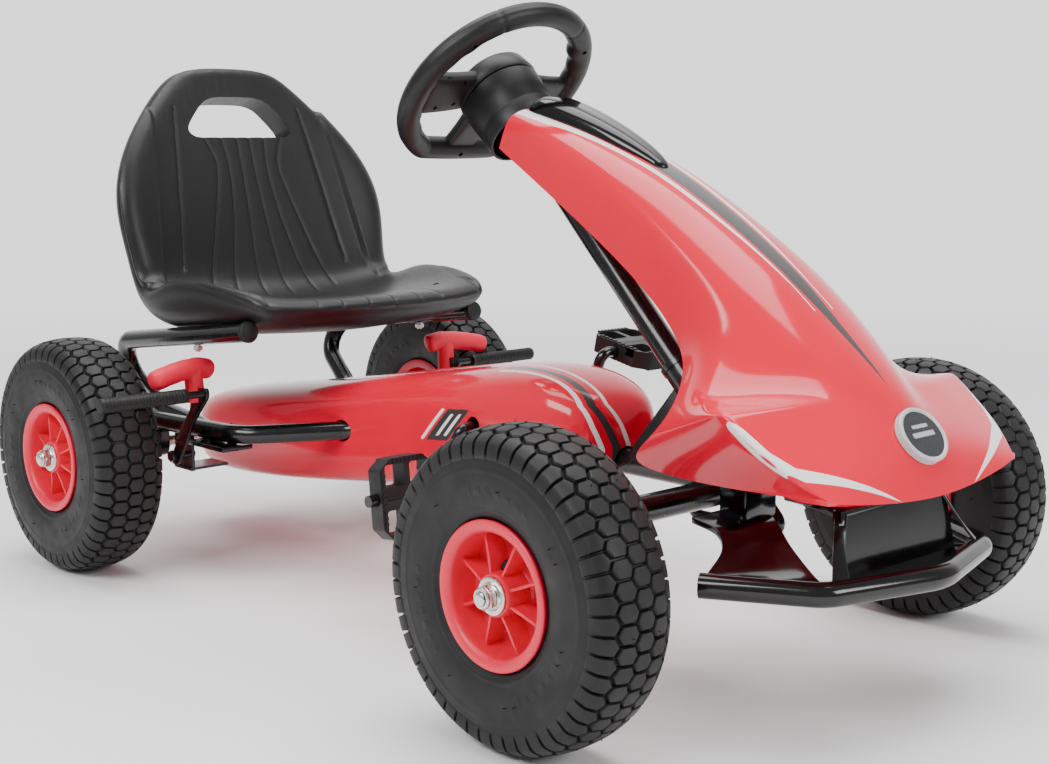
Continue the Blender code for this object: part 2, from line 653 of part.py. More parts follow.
SEAT_BOLT_X = -0.288
rail_slope = (0.2787 - 0.2473) / (-0.1885 + 0.4480)
bolt_rail_z = 0.2787 + (SEAT_BOLT_X + 0.1885) * rail_slope
rail_l = cut(rail_l, rod("hole", (SEAT_BOLT_X + 0.0001, RAIL_Y + 0.0001, bolt_rail_z - 0.02),
                         (SEAT_BOLT_X + 0.0001, RAIL_Y + 0.0001, bolt_rail_z + 0.02), 0.0035, None, 9))
rail_r = mirrored(rail_l, "seat_rail_right")

cap_dir = Vector((1.0, 0.0, rail_slope)).normalized()
cap_start = Vector((-0.1885, RAIL_Y, 0.2787)) + cap_dir * GAP
cap_l = rod("rail_cap_left", cap_start, cap_start + cap_dir * 0.007, RAIL_R + 0.0008, BLACK_RUBBER, 12,
            RAIL_R - 0.0012)
cap_r = mirrored(cap_l, "rail_cap_right")

# ---------------------------------------------------------------- seat
# Sections run from the front lip over the pan and up the back. Each has its
# middle point on the sitting surface, the outward normal there, half width,
# thickness, and how far the side bolsters rise and drop behind.


def back_point(z):
    return (SEAT_FOOT.x - SEAT_RECLINE * (z - SEAT_FOOT.z), z)


PAN_N = (0.0, 1.0)
LEAN = math.atan(SEAT_RECLINE)
BACK_N = (math.cos(LEAN), math.sin(LEAN))
SEAT = (
    # x, z, normal, half width, thickness, bolster, sag
    (-0.1510, 0.2970, (0.9, 0.4), 0.1500, 0.0120, 0.000, 0.000),
    (-0.1600, 0.3120, (0.35, 0.94), 0.1650, 0.0300, 0.004, 0.006),
    (-0.2000, 0.3090, PAN_N, 0.1780, 0.0320, 0.018, 0.010),
    (-0.2600, 0.3010, PAN_N, 0.1880, 0.0300, 0.036, 0.012),
    (-0.3150, 0.2950, PAN_N, 0.1930, 0.0290, 0.040, 0.010),
    (-0.3580, 0.2950, (0.5, 0.87), 0.1920, 0.0340, 0.028, 0.000),
    (-0.3820, 0.3160, (0.88, 0.47), 0.1830, 0.0380, 0.006, 0.000),
    (*back_point(0.3600), BACK_N, 0.1880, 0.0340, 0.010, 0.000),
    (*back_point(0.4150), BACK_N, 0.1930, 0.0340, 0.014, 0.000),
    (*back_point(0.4700), BACK_N, 0.1720, 0.0340, 0.010, 0.000),
    (*back_point(0.5200), BACK_N, 0.1310, 0.0340, 0.002, 0.000),
    (*back_point(0.5580), BACK_N, 0.0930, 0.0320, -0.004, 0.000),
    (*back_point(0.5790), BACK_N, 0.0600, 0.0240, -0.006, 0.000),
)


def seat_ring(x, z, normal, half, thick, bolster, sag):
    n = Vector((normal[0], 0.0, normal[1])).normalized()
    top = Vector((x, 0.0, z))
    ring = []
    # across the sitting surface, then back underneath
    for share, lift in ((-1.0, -0.45), (-0.93, 0.0), (-0.72, 0.0), (-0.35, 0.0), (0.0, 0.0), (0.35, 0.0),
                        (0.72, 0.0), (0.93, 0.0), (1.0, -0.45)):
        side = abs(share)
        rise = bolster * (1.0 if side > 0.8 else 0.25 if side > 0.6 else 0.0)
        ring.append(top + Vector((0.0, share * half, 0.0)) + n * (lift * thick + rise))
    for share in (0.90, 0.45, 0.0, -0.45, -0.90):
        drop = thick + sag * (1.0 - abs(share))
        ring.append(top + Vector((0.0, share * half, 0.0)) - n * drop)
    return ring


seat = ring_loft("seat", [seat_ring(*row) for row in SEAT], SATIN_PLASTIC, 1)
slot_low = back_point(0.4890)
slot = plate("slot", [(-0.062, 0.0), (0.062, 0.0), (0.0715, 0.0035), (0.0745, 0.011), (0.0710, 0.019),
                      (0.0520, 0.0400), (0.0420, 0.0475), (0.0280, 0.0515), (-0.0280, 0.0515),
                      (-0.0420, 0.0475), (-0.0520, 0.0400), (-0.0710, 0.019), (-0.0745, 0.011),
                      (-0.0715, 0.0035)], 0.120,
             Matrix.Translation((slot_low[0], 0.0, slot_low[1]))
             @ Matrix(((0, -math.sin(LEAN), math.cos(LEAN), 0), (1, 0, 0, 0),
                       (0, math.cos(LEAN), math.sin(LEAN), 0), (0, 0, 0, 1))))
rail_grooves = []
for side in (1, -1):
    rail_grooves.append(tube("groove", [(-0.140, side * RAIL_Y, 0.2787 + 0.0485 * rail_slope),
                                        (-0.460, side * RAIL_Y, 0.2787 - 0.2715 * rail_slope)],
                             RAIL_R + 0.0012, None, 4))
    rail_grooves.append(rod("hole", (SEAT_BOLT_X, side * RAIL_Y, 0.26), (SEAT_BOLT_X, side * RAIL_Y, 0.286),
                            0.0034, None, 10))
seat = cut(seat, slot, *rail_grooves)

seat_bolt_l = rod("seat_bolt_left", (SEAT_BOLT_X, RAIL_Y, bolt_rail_z - 0.0165),
                  (SEAT_BOLT_X, RAIL_Y, 0.2840), 0.0030, ZINC, 8)
nut = rod("nut", (SEAT_BOLT_X, RAIL_Y, bolt_rail_z - 0.0165), (SEAT_BOLT_X, RAIL_Y, bolt_rail_z - 0.0124),
          0.0058, None, 6)
seat_bolt_l = union(seat_bolt_l, nut)
seat_bolt_r = mirrored(seat_bolt_l, "seat_bolt_right")

# ---------------------------------------------------------------- brakes
px, pz = BRAKE_PIVOT
bx, bz = BRAKE_BAR
lever_outline = [
    (px - 0.009, pz - 0.006), (px, pz - 0.0105), (px + 0.009, pz - 0.006), (px + 0.0400, pz + 0.0420),
    (bx + 0.0060, bz - 0.006), (bx + 0.0060, bz + 0.006), (bx - 0.0060, bz + 0.006),
    (-0.2560, 0.2060), (-0.2570, 0.2120), (-0.2670, 0.2120), (-0.2720, 0.1860),
    (px + 0.0160, pz + 0.0360)]
lever_l = plate("brake_lever_left", lever_outline, 0.004,
                Matrix.Translation((0.0, BRAKE_Y, 0.0)) @ UPRIGHT_ALONG_Y, BLACK_PAINT,
                [(px, pz, 0.0042)], 12)
bar = rod("bar", (bx, BRAKE_Y - 0.001, bz), (bx, 0.3095, bz), 0.0040, None, 8)
lever_l = union(lever_l, bar)
lever_r = mirrored(lever_l, "brake_lever_right")

sleeve_l = lathe("brake_sleeve_left", [(0.0, 0.1055), (0.0066, 0.1055), (0.0080, 0.1040), (0.0080, 0.0000),
                                       (0.0044, 0.0000), (0.0044, 0.1020), (0.0, 0.1020)],
                 12, BLACK_RUBBER, Matrix.Translation((bx, 0.2080, bz))
                 @ Matrix.Rotation(math.radians(-90), 4, "X"))
sleeve_r = mirrored(sleeve_l, "brake_sleeve_right")

grip_points = [(-0.2716, 0.1590, 0.2290), (-0.2670, 0.1760, 0.2335), (-0.2620, 0.2000, 0.2325),
               (-0.2580, 0.2220, 0.2290), (-0.2550, 0.2430, 0.2240)]
grip_l = tube("brake_grip_left", rounded(grip_points, 0.03, 2), 0.0118, RED_RUBBER, 3)
stem = rod("stem", (-0.2616, 0.1837, 0.1960), (-0.2640, 0.1850, 0.2310), 0.0105, None, 10)
grip_l = union(grip_l, stem)
grip_l = cut(grip_l, box("slot", (0.0300, 0.0048, 0.0300), (-0.2620, BRAKE_Y, 0.1976)))
grip_r = mirrored(grip_l, "brake_grip_right")

# ---------------------------------------------------------------- hood
# Half of the hood, as rows from the ridge (y = 0) out to the free edge.
# Each row: ridge, crown, shoulder, hollow, wing crest, edge.
HOOD = (
    ((0.112, 0.000, 0.5170), (0.109, 0.028, 0.5165), (0.102, 0.042, 0.508),
     (0.099, 0.0445, 0.499), (0.095, 0.0455, 0.488), (0.090, 0.045, 0.477)),
    ((0.180, 0.000, 0.4975), (0.180, 0.032, 0.4970), (0.178, 0.049, 0.486),
     (0.176, 0.0530, 0.471), (0.172, 0.0550, 0.454), (0.168, 0.055, 0.436)),
    ((0.2694, 0.000, 0.460), (0.269, 0.035, 0.4595), (0.265, 0.055, 0.447),
     (0.258, 0.0600, 0.430), (0.249, 0.0620, 0.413), (0.240, 0.062, 0.396)),
    ((0.3307, 0.000, 0.426), (0.330, 0.038, 0.4250), (0.325, 0.060, 0.411),
     (0.319, 0.0670, 0.394), (0.311, 0.0690, 0.376), (0.303, 0.069, 0.358)),
    ((0.3842, 0.000, 0.3935), (0.383, 0.041, 0.3920), (0.378, 0.066, 0.377),
     (0.371, 0.0730, 0.360), (0.361, 0.0760, 0.342), (0.350, 0.076, 0.322)),
    ((0.4290, 0.000, 0.3620), (0.428, 0.045, 0.3600), (0.422, 0.073, 0.343),
     (0.413, 0.0840, 0.326), (0.398, 0.0890, 0.309), (0.379, 0.0890, 0.291)),
    ((0.4753, 0.000, 0.3235), (0.473, 0.044, 0.3220), (0.468, 0.070, 0.303),
     (0.455, 0.1000, 0.281), (0.432, 0.1420, 0.264), (0.396, 0.129, 0.2590)),
    ((0.5214, 0.000, 0.2850), (0.520, 0.027, 0.2835), (0.514, 0.043, 0.2740),
     (0.501, 0.1000, 0.2750), (0.481, 0.1680, 0.2730), (0.366, 0.127, 0.230)),
    ((0.5560, 0.000, 0.2450), (0.553, 0.022, 0.2450), (0.546, 0.048, 0.2460),
     (0.536, 0.1030, 0.242), (0.519, 0.1650, 0.2440), (0.326, 0.113, 0.2015)),
    ((0.5690, 0.000, 0.2200), (0.567, 0.030, 0.2215), (0.564, 0.062, 0.2225),
     (0.559, 0.1070, 0.2235), (0.546, 0.1510, 0.2240), (0.455, 0.136, 0.2045)),
    ((0.5771, 0.000, 0.1965), (0.575, 0.050, 0.1990), (0.572, 0.085, 0.2025),
     (0.569, 0.1150, 0.206), (0.5650, 0.134, 0.2095), (0.560, 0.142, 0.2116)),
)


def hood_sheet(name, thickness, offset, mat=None):
    """The hood's skin: half a cage, mirrored, softened and given a wall."""
    bm = bmesh.new()
    crease = bm.edges.layers.float.new("crease_edge")
    grid = [[bm.verts.new(p) for p in row] for row in HOOD]
    for a, b in zip(grid[:-1], grid[1:]):
        for k in range(len(a) - 1):
            bm.faces.new((a[k], b[k], b[k + 1], a[k + 1]))
    for a, b in zip(grid[6:-1], grid[7:]):
        bm.edges.get((a[4], b[4]))[crease] = 0.6
    for k in (2, 3):
        bm.edges.get((grid[7][k], grid[7][k + 1]))[crease] = 0.5
    sheet = from_bmesh(name, bm, mat)
    mod = sheet.modifiers.new("both sides", "MIRROR")
    mod.use_axis = (False, True, False)
    mod.merge_threshold = 0.0001
    mod = sheet.modifiers.new("soft", "SUBSURF")
    mod.levels = 1
    mod.render_levels = 1
    mod.boundary_smooth = "PRESERVE_CORNERS"
    mod = sheet.modifiers.new("wall", "SOLIDIFY")
    mod.thickness = thickness
    mod.offset = offset
    return bake(sheet)


hood = hood_sheet("hood", 0.0030, -1.0, RED_PLASTIC)
# a thicker skin round the hood trims what sits on it
skin = hood_sheet("skin", 0.0130, -0.930)

# neck cover: a flared half-round saddle that tapers to a rounded tip
NECK = (
    # x, z of its base on the ridge, half width, height
    (0.106, 0.5130, 0.0250, 0.0130),
    (0.118, 0.5120, 0.0290, 0.0180),
    (0.150, 0.5040, 0.0260, 0.0175),
    (0.190, 0.4915, 0.0220, 0.0150),
    (0.228, 0.4765, 0.0180, 0.0125),
    (0.256, 0.4650, 0.0130, 0.0085),
    (0.272, 0.4570, 0.0070, 0.0040),
)
rings = []
for x, z, half, tall in NECK:
    ring = []
    for share, rise in ((-1.0, -0.35), (-0.97, 0.35), (-0.66, 0.85), (0.0, 1.0), (0.66, 0.85), (0.97, 0.35),
                        (1.0, -0.35), (0.0, -0.45)):
        ring.append((x + 0.35 * rise * tall, share * half, z + rise * tall))
    rings.append(ring)
neck_cover = ring_loft("neck_cover", rings, GLOSS_PLASTIC, 1)
skin_copy = add("skin copy", skin.data.copy())
skin_back = add("skin back", skin.data.copy())
skin_back.location = (-0.0006, 0.0, 0.0)
neck_cover = cut(neck_cover, skin_copy, skin_back,
                 rod("room", along_column(WHEEL_ALONG - 0.0668), along_column(WHEEL_ALONG - 0.02), 0.0412, None, 24))

badge_n = Vector((0.80, 0.0, 0.60)).normalized()
badge_c = Vector((0.5565, 0.0, 0.2450))
badge = rod("nose_badge", badge_c - badge_n * 0.005, badge_c + badge_n * 0.0035, 0.0250, BADGE_GREY, 24, 0.0242)
badge.data.transform(Matrix.Diagonal((1.0, 1.13, 1.0, 1.0)))
badge = cut(badge, skin)

# ---------------------------------------------------------------- bumper
BAND_Z = 0.1300
BAND_R = 0.0105
band = tube("bumper", rounded([(0.461, -0.166, BAND_Z), (0.548, -0.116, BAND_Z), (0.5805, 0.0, BAND_Z),
                               (0.548, 0.116, BAND_Z), (0.461, 0.166, BAND_Z)], [0, 0.03, 0.06, 0.03, 0], 3),
            BAND_R, GLOSS_PLASTIC, 3)


def slab(corners, thickness):
    """Four corners of an edge, outer to inner, each given a height."""
    return [(x, y, z) for x, y, z in corners] + [(x, y, z + thickness) for x, y, z in reversed(corners)]


extras = []
for side in (1, -1):
    extras.append(ring_loft("foot", [
        slab([(0.398, side * 0.104, 0.1600), (0.398, side * 0.066, 0.1600), (0.398, side * 0.024, 0.1600)], 0.006),
        slab([(0.428, side * 0.106, 0.1540), (0.428, side * 0.070, 0.1540), (0.432, side * 0.034, 0.1540)], 0.006),
        slab([(0.445, side * 0.120, 0.1420), (0.452, side * 0.088, 0.1400), (0.465, side * 0.052, 0.1380)], 0.006),
        slab([(0.455, side * 0.150, 0.1300), (0.480, side * 0.112, 0.1280), (0.512, side * 0.082, 0.1270)], 0.006),
        slab([(0.463, side * 0.164, 0.1260), (0.512, side * 0.136, 0.1260), (0.547, side * 0.106, 0.1260)], 0.006),
    ]))
    extras.append(ring_loft("strut", [
        slab([(0.548, side * 0.108, 0.1340), (0.556, side * 0.094, 0.1340)], 0.004),
        slab([(0.538, side * 0.094, 0.1540), (0.544, side * 0.084, 0.1540)], 0.004),
        slab([(0.526, side * 0.076, 0.1860), (0.531, side * 0.066, 0.1860)], 0.004),
    ]))
    extras.append(box("block", (0.030, 0.044, 0.033), (0.413, side * 0.046, 0.1755)))
extras.append(ring_loft("panel", [
    [(0.532, -0.084, 0.1300), (0.532, 0.084, 0.1300), (0.540, 0.084, 0.1300), (0.540, -0.084, 0.1300)],
    [(0.524, -0.076, 0.1880), (0.524, 0.076, 0.1880), (0.532, 0.076, 0.1880), (0.532, -0.076, 0.1880)]]))
extras.append(box("tie", (0.040, 0.150, 0.006), (0.548, 0.0, 0.1300)))
bumper = union(band, *extras)

# ---------------------------------------------------------------- assembly
root = bpy.data.objects.new("kart", None)
parts_col.objects.link(root)
root.location = (-CENTRE_SHIFT, 0.0, 0.0)


def pivot_at(name, place, parent=root, parent_place=(0.0, 0.0, 0.0)):
    """An empty on a joint's axis."""
    empty = bpy.data.objects.new(name, None)
    parts_col.objects.link(empty)
    empty.parent = parent
    empty.location = Vector(place) - Vector(parent_place)
    return empty


def hang(objects, empty, place):
    """Parent pieces to a joint's empty and leave them where they are."""
    for obj in objects:
        obj.parent = empty
        obj.location = obj.location - Vector(place)


steer_at = along_column(WHEEL_ALONG)
steer_axis = pivot_at("axis_steering", steer_at)
hang([steering_rod, wheel_body, boss], steer_axis, steer_at)

for side, knuckle, tie, wheel_parts, tag in ((1, knuckle_l, tie_l, wheel_fl, "left"),
                                             (-1, knuckle_r, tie_r, wheel_fr, "right")):
    king_at = Vector((FRONT_X, side * KINGPIN_Y, BEAM_Z))
    king = pivot_at("axis_kingpin_" + tag, king_at)
    hang([knuckle], king, king_at)
    tie_at = Vector((TIE_X, side * KINGPIN_Y, TIE_Z))
    hang([tie], pivot_at("axis_tie_rod_" + tag, tie_at, king, king_at), tie_at)
    wheel_at = Vector((FRONT_X, side * FRONT_Y, AXLE_Z))
    hang(wheel_parts, pivot_at("axis_wheel_front_" + tag, wheel_at, king, king_at), wheel_at)

rear_at = Vector((REAR_X, 0.0, AXLE_Z))
hang([rear_axle, sprocket] + wheel_rl, pivot_at("axis_rear_axle", rear_at), rear_at)
free_at = Vector((REAR_X, -REAR_Y, AXLE_Z))
hang(wheel_rr, pivot_at("axis_wheel_rear_right", free_at), free_at)

crank_axis = pivot_at("axis_crank", CRANK)
hang([crank, chainring], crank_axis, CRANK)
for side, obj, place, tag in ((1, pedal_l, left_pin, "left"), (-1, pedal_r, right_pin, "right")):
    pedal_at = Vector((place.x, side * PEDAL_Y, place.z))
    hang([obj], pivot_at("axis_pedal_" + tag, pedal_at, crank_axis, CRANK), pedal_at)

for side, pieces, tag in ((1, [lever_l, sleeve_l, grip_l], "left"), (-1, [lever_r, sleeve_r, grip_r], "right")):
    brake_at = Vector((BRAKE_PIVOT[0], side * BRAKE_Y, BRAKE_PIVOT[1]))
    hang(pieces, pivot_at("axis_brake_" + tag, brake_at), brake_at)

for obj in parts_col.objects:
    if obj.type != "MESH":
        continue
    if obj.parent is None:
        obj.parent = root
    smooth(obj, 35)
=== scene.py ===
"""A pedal go kart, dressed for its portrait. Lengths are in metres; +X is forwards, +Y is the kart's left."""
import math

import bmesh
import bpy
import numpy as np
from mathutils import Matrix, Vector


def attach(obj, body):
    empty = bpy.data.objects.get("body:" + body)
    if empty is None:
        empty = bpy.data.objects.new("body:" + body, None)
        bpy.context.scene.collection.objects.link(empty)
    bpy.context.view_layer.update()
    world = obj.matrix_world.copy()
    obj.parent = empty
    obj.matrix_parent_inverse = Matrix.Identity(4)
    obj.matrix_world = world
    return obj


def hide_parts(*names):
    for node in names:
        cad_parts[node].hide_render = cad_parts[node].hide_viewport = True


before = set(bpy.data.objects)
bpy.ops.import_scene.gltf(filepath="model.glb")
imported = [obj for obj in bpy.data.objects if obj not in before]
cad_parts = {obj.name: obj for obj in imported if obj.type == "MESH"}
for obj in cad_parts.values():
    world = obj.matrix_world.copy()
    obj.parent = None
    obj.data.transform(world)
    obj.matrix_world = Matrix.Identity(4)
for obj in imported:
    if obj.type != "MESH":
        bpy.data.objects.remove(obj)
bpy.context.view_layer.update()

# ---------------------------------------------------------------- dimensions
SHIFT = 0.03976               # the kart's middle lies this far ahead of mid wheelbase
TYRE_R = 0.1325
FRONT_X, REAR_X = 0.3755, -0.3755
FRONT_Y, REAR_Y = 0.279, 0.270
AXLE_Z = TYRE_R
KINGPIN_Y = 0.205
BEAM_X, BEAM_Z, TUBE_R = 0.355, 0.1675, 0.0125
BACKBONE_Z = 0.1745
HUB_FACE = 0.0340
STEER_FOOT = Vector((0.388, 0.0, 0.173))
STEER_ANGLE = math.radians(46.13)
STEER_DIR = Vector((-math.cos(STEER_ANGLE), 0.0, math.sin(STEER_ANGLE)))
WHEEL_ALONG = 0.508
TIE_X, TIE_Z = 0.312, 0.154
CRANK = Vector((0.079, 0.0, 0.198))
CRANK_ARM, CRANK_ARM_Y, PEDAL_Y = 0.069, 0.0895, 0.142
CRANK_REST = math.radians(67.9)
CHAIN_Y, CHAIN_PITCH = -0.032, 0.0127
SEAT_RECLINE = 0.3046
SEAT_FOOT = Vector((-0.376, 0.0, 0.295))
RAIL_Y, RAIL_R = 0.1625, 0.0110
ARM_Z, ARM_R = 0.159, 0.0105
BRAKE_Y = 0.184
BRAKE_PIVOT = (-0.308, 0.128)
BRAKE_BAR = (-0.2417, 0.2076)


# ---------------------------------------------------------------- materials
class Nodes:
    """A small builder for one material's node tree."""

    def __init__(self, name):
        self.mat = bpy.data.materials.new(name)
        self.mat.use_nodes = True
        self.tree = self.mat.node_tree
        self.bsdf = self.tree.nodes["Principled BSDF"]
        self.coord = self.tree.nodes.new("ShaderNodeTexCoord")

    def new(self, kind, **values):
        node = self.tree.nodes.new("ShaderNode" + kind)
        for key, value in values.items():
            setattr(node, key, value)
        return node

    def link(self, a, b):
        self.tree.links.new(a, b)

    def put(self, socket, value):
        """A link where value is a socket, a constant where it is a number or colour."""
        if isinstance(value, bpy.types.NodeSocket):
            self.link(value, socket)
        else:
            socket.default_value = value

    def noise(self, scale, detail=3.0, rough=0.55, stretch=None):
        node = self.new("TexNoise")
        node.inputs["Scale"].default_value = scale
        node.inputs["Detail"].default_value = detail
        node.inputs["Roughness"].default_value = rough
        source = self.coord.outputs["Object"]
        if stretch:
            mapping = self.new("Mapping")
            mapping.inputs["Scale"].default_value = stretch
            self.link(source, mapping.inputs["Vector"])
            source = mapping.outputs["Vector"]
        self.link(source, node.inputs["Vector"])
        return node.outputs["Fac"]

    def span(self, value, low, high, to_low=0.0, to_high=1.0):
        node = self.new("MapRange")
        self.put(node.inputs["Value"], value)
        node.inputs["From Min"].default_value = low
        node.inputs["From Max"].default_value = high
        node.inputs["To Min"].default_value = to_low
        node.inputs["To Max"].default_value = to_high
        return node.outputs["Result"]

    def math(self, operation, a, b=None):
        node = self.new("Math", operation=operation)
        self.put(node.inputs[0], a)
        if b is not None:
            self.put(node.inputs[1], b)
        return node.outputs[0]

    def mix(self, share, a, b):
        node = self.new("Mix", data_type="RGBA")
        self.put(node.inputs["Factor"], share)
        self.put(node.inputs[6], a if not isinstance(a, tuple) else (*a, 1.0))
        self.put(node.inputs[7], b if not isinstance(b, tuple) else (*b, 1.0))
        return node.outputs[2]

    def bump(self, heights):
        """Chain of bumps: (height socket, strength, distance in metres)."""
        last = None
        for height, strength, distance in heights:
            node = self.new("Bump")
            node.inputs["Strength"].default_value = strength
            node.inputs["Distance"].default_value = distance
            self.link(height, node.inputs["Height"])
            if last is not None:
                self.link(last, node.inputs["Normal"])
            last = node.outputs["Normal"]
        self.link(last, self.bsdf.inputs["Normal"])

    def attribute(self, name):
        node = self.new("Attribute", attribute_name=name)
        return node.outputs["Fac"]

    def surface(self, colour, roughness, metallic=0.0, coat=0.0, coat_rough=0.05, specular=0.5):
        self.put(self.bsdf.inputs["Base Color"], (*colour, 1.0) if isinstance(colour, tuple) else colour)
        self.put(self.bsdf.inputs["Roughness"], roughness)
        self.put(self.bsdf.inputs["Metallic"], metallic)
        self.bsdf.inputs["Coat Weight"].default_value = coat
        self.bsdf.inputs["Coat Roughness"].default_value = coat_rough
        self.bsdf.inputs["Specular IOR Level"].default_value = specular
        return self.mat


def plastic(name, colour, rough, grain, depth, coat=0.0, wear=0.10, specular=0.5):
    """Moulded plastic: a fine grain, slow waviness and faint handling marks."""
    n = Nodes(name)
    patch = n.noise(9.0, 4.0)
    scuff = n.noise(60.0, 6.0, 0.7, (1.0, 6.0, 1.0))
    shade = tuple(min(1.0, c * 1.25 + 0.004) for c in colour)
    tone = n.mix(n.span(patch, 0.35, 0.75, 0.0, 0.6), colour, shade)
    r = n.math("ADD", n.span(patch, 0.3, 0.7, rough - 0.03, rough + 0.05),
               n.span(scuff, 0.62, 0.8, 0.0, wear))
    n.bump([(n.noise(14.0, 2.0), 0.10, 0.0012), (n.noise(grain, 2.0, 0.6), 0.35, depth)])
    return n.surface(tone, r, coat=coat, specular=specular)


def paint(name, colour, rough=0.16):
    """Powder coat on tube: orange peel, with a little dust in the hollows."""
    n = Nodes(name)
    patch = n.noise(22.0, 5.0)
    tone = n.mix(n.span(patch, 0.45, 0.8, 0.0, 0.5), colour, tuple(c + 0.006 for c in colour))
    r = n.span(n.noise(130.0, 4.0), 0.3, 0.75, rough, rough + 0.16)
    n.bump([(n.noise(420.0, 2.0), 0.12, 0.0002)])
    return n.surface(tone, r, coat=0.25, coat_rough=0.08, specular=0.42)


def metal(name, colour, rough, grain=(1.0, 1.0, 1.0), stain=(0.55, 0.48, 0.32)):
    """Plated steel: fine lines, cloudy patches of passivation."""
    n = Nodes(name)
    lines = n.noise(700.0, 3.0, 0.6, grain)
    cloud = n.noise(70.0, 4.0)
    tone = n.mix(n.span(cloud, 0.5, 0.8, 0.0, 0.35), colour, stain)
    r = n.math("ADD", n.span(lines, 0.3, 0.7, rough - 0.06, rough + 0.10), n.span(cloud, 0.4, 0.8, 0.0, 0.12))
    n.bump([(lines, 0.15, 0.00012)])
    return n.surface(tone, r, metallic=1.0)


def rubber(name, colour, rough=0.62, dust=0.05, grain=900.0):
    n = Nodes(name)
    patch = n.noise(30.0, 5.0, 0.65)
    tone = n.mix(n.span(patch, 0.45, 0.8, 0.0, 0.55), colour, tuple(c + dust for c in colour))
    r = n.span(n.noise(55.0, 4.0), 0.3, 0.75, rough - 0.08, rough + 0.12)
    n.bump([(n.noise(40.0, 3.0), 0.12, 0.0008), (n.noise(grain, 2.0), 0.3, 0.00018)])
    return n.surface(tone, r, specular=0.36)


# The seat's grooves as (distance from the middle, height) centre lines, mirrored, with a width.
# Three pairs fan out down the back, and one deeper pair stands outside them.
SEAT_GROOVES = (
    ([(0.0090, 0.4900), (0.0093, 0.440), (0.0115, 0.390), (0.0150, 0.340), (0.0182, 0.298)], 0.0010),
    ([(0.0316, 0.4895), (0.0290, 0.470), (0.0278, 0.448), (0.0315, 0.405), (0.0430, 0.350),
      (0.0560, 0.300)], 0.0010),
    ([(0.0560, 0.4875), (0.0500, 0.474), (0.0452, 0.461), (0.0450, 0.448), (0.0530, 0.415), (0.0700, 0.358),
      (0.0880, 0.306)], 0.0011),
    ([(0.0905, 0.5230), (0.0970, 0.480), (0.1050, 0.425), (0.1120, 0.375), (0.1190, 0.334)], 0.0018),
)
# the line down each side where the back's wing steps forwards
SEAT_WING = [(0.1190, 0.5270), (0.1215, 0.5100), (0.1270, 0.4850), (0.1335, 0.4400), (0.1400, 0.3900),
             (0.1470, 0.3400), (0.1520, 0.3000)]


def grooved(name, colour, rough):
    """The seat's plastic: fine vertical brushing, and grooves cut exactly where the centre lines run,
    darkened with painted shade.
    """
    n = Nodes(name)
    split = n.new("SeparateXYZ")
    n.link(n.coord.outputs["Object"], split.inputs[0])
    x, z = split.outputs["X"], split.outputs["Z"]
    side = n.math("ABSOLUTE", split.outputs["Y"])
    cut = None
    for points, width in SEAT_GROOVES:
        low, high = points[-1][1], points[0][1]
        curve = n.new("FloatCurve")
        line = curve.mapping.curves[0]
        for k, (y, height) in enumerate(reversed(points)):
            at = ((height - low) / (high - low), y / 0.2)
            if k < 2:
                line.points[k].location = at
            else:
                line.points.new(*at)
        curve.mapping.update()
        n.link(n.span(z, low, high), curve.inputs["Value"])
        centre = n.math("MULTIPLY", curve.outputs["Value"], 0.2)
        off = n.math("ABSOLUTE", n.math("SUBTRACT", side, centre))
        depth = n.span(off, 0.25 * width, width, 1.0, 0.0)
        ends = n.math("MULTIPLY", n.span(z, low - 0.002, low + 0.004),
                      n.span(z, high - 0.001, high + 0.001, 1.0, 0.0))
        depth = n.math("MULTIPLY", depth, ends)
        cut = depth if cut is None else n.math("MAXIMUM", cut, depth)
    # only the front skin of the back is grooved
    front = n.math("ADD", x, n.math("MULTIPLY", z, 0.3046))
    cut = n.math("MULTIPLY", cut, n.span(front, -0.3395, -0.3365))
    brush = n.noise(260.0, 4.0, 0.6, (1.0, 1.0, 0.06))
    patch = n.noise(7.0, 4.0)
    tone = n.mix(n.span(patch, 0.35, 0.75, 0.0, 0.6), colour, tuple(c * 1.5 for c in colour))
    # painted shade: the colour inside the grooves is darkened towards black, as shade falls in them
    tone = n.mix(n.math("MULTIPLY", cut, 0.85), tone, (0.0008, 0.0008, 0.0008))
    r = n.math("ADD", n.span(patch, 0.3, 0.7, rough - 0.03, rough + 0.05),
               n.span(brush, 0.35, 0.7, -0.03, 0.07))
    r = n.math("ADD", r, n.math("MULTIPLY", cut, 0.3))
    n.bump([(n.noise(1500.0, 2.0, 0.6), 0.30, 0.00010), (brush, 0.25, 0.0002),
            (n.math("SUBTRACT", 1.0, cut), 1.0, 0.0016)])
    return n.surface(tone, r, specular=0.42)


SEAT_PLASTIC = grooved("seat plastic", (0.0065, 0.006, 0.007), 0.40)
WHEEL_PLASTIC = plastic("steering wheel plastic", (0.006, 0.006, 0.0065), 0.42, 1500.0, 0.00012,
                        specular=0.36)
PEDAL_PLASTIC = plastic("pedal plastic", (0.008, 0.008, 0.008), 0.45, 1100.0, 0.00015, specular=0.4)
GLOSS_PLASTIC = plastic("black gloss plastic", (0.003, 0.003, 0.0033), 0.12, 500.0, 0.00003, coat=0.2,
                        wear=0.10, specular=0.4)
RIM_PLASTIC = plastic("red rim plastic", (0.72, 0.005, 0.038), 0.36, 1300.0, 0.00008, wear=0.12)
BLACK_PAINT = paint("black paint", (0.003, 0.003, 0.0035))
ZINC = metal("zinc plate", (0.66, 0.66, 0.64), 0.24)
ZINC_FACE = metal("zinc washer", (0.70, 0.70, 0.66), 0.2, (1.0, 1.0, 0.05), (0.60, 0.56, 0.36))
CHAIN_STEEL = metal("chain steel", (0.16, 0.15, 0.14), 0.36, stain=(0.06, 0.045, 0.03))
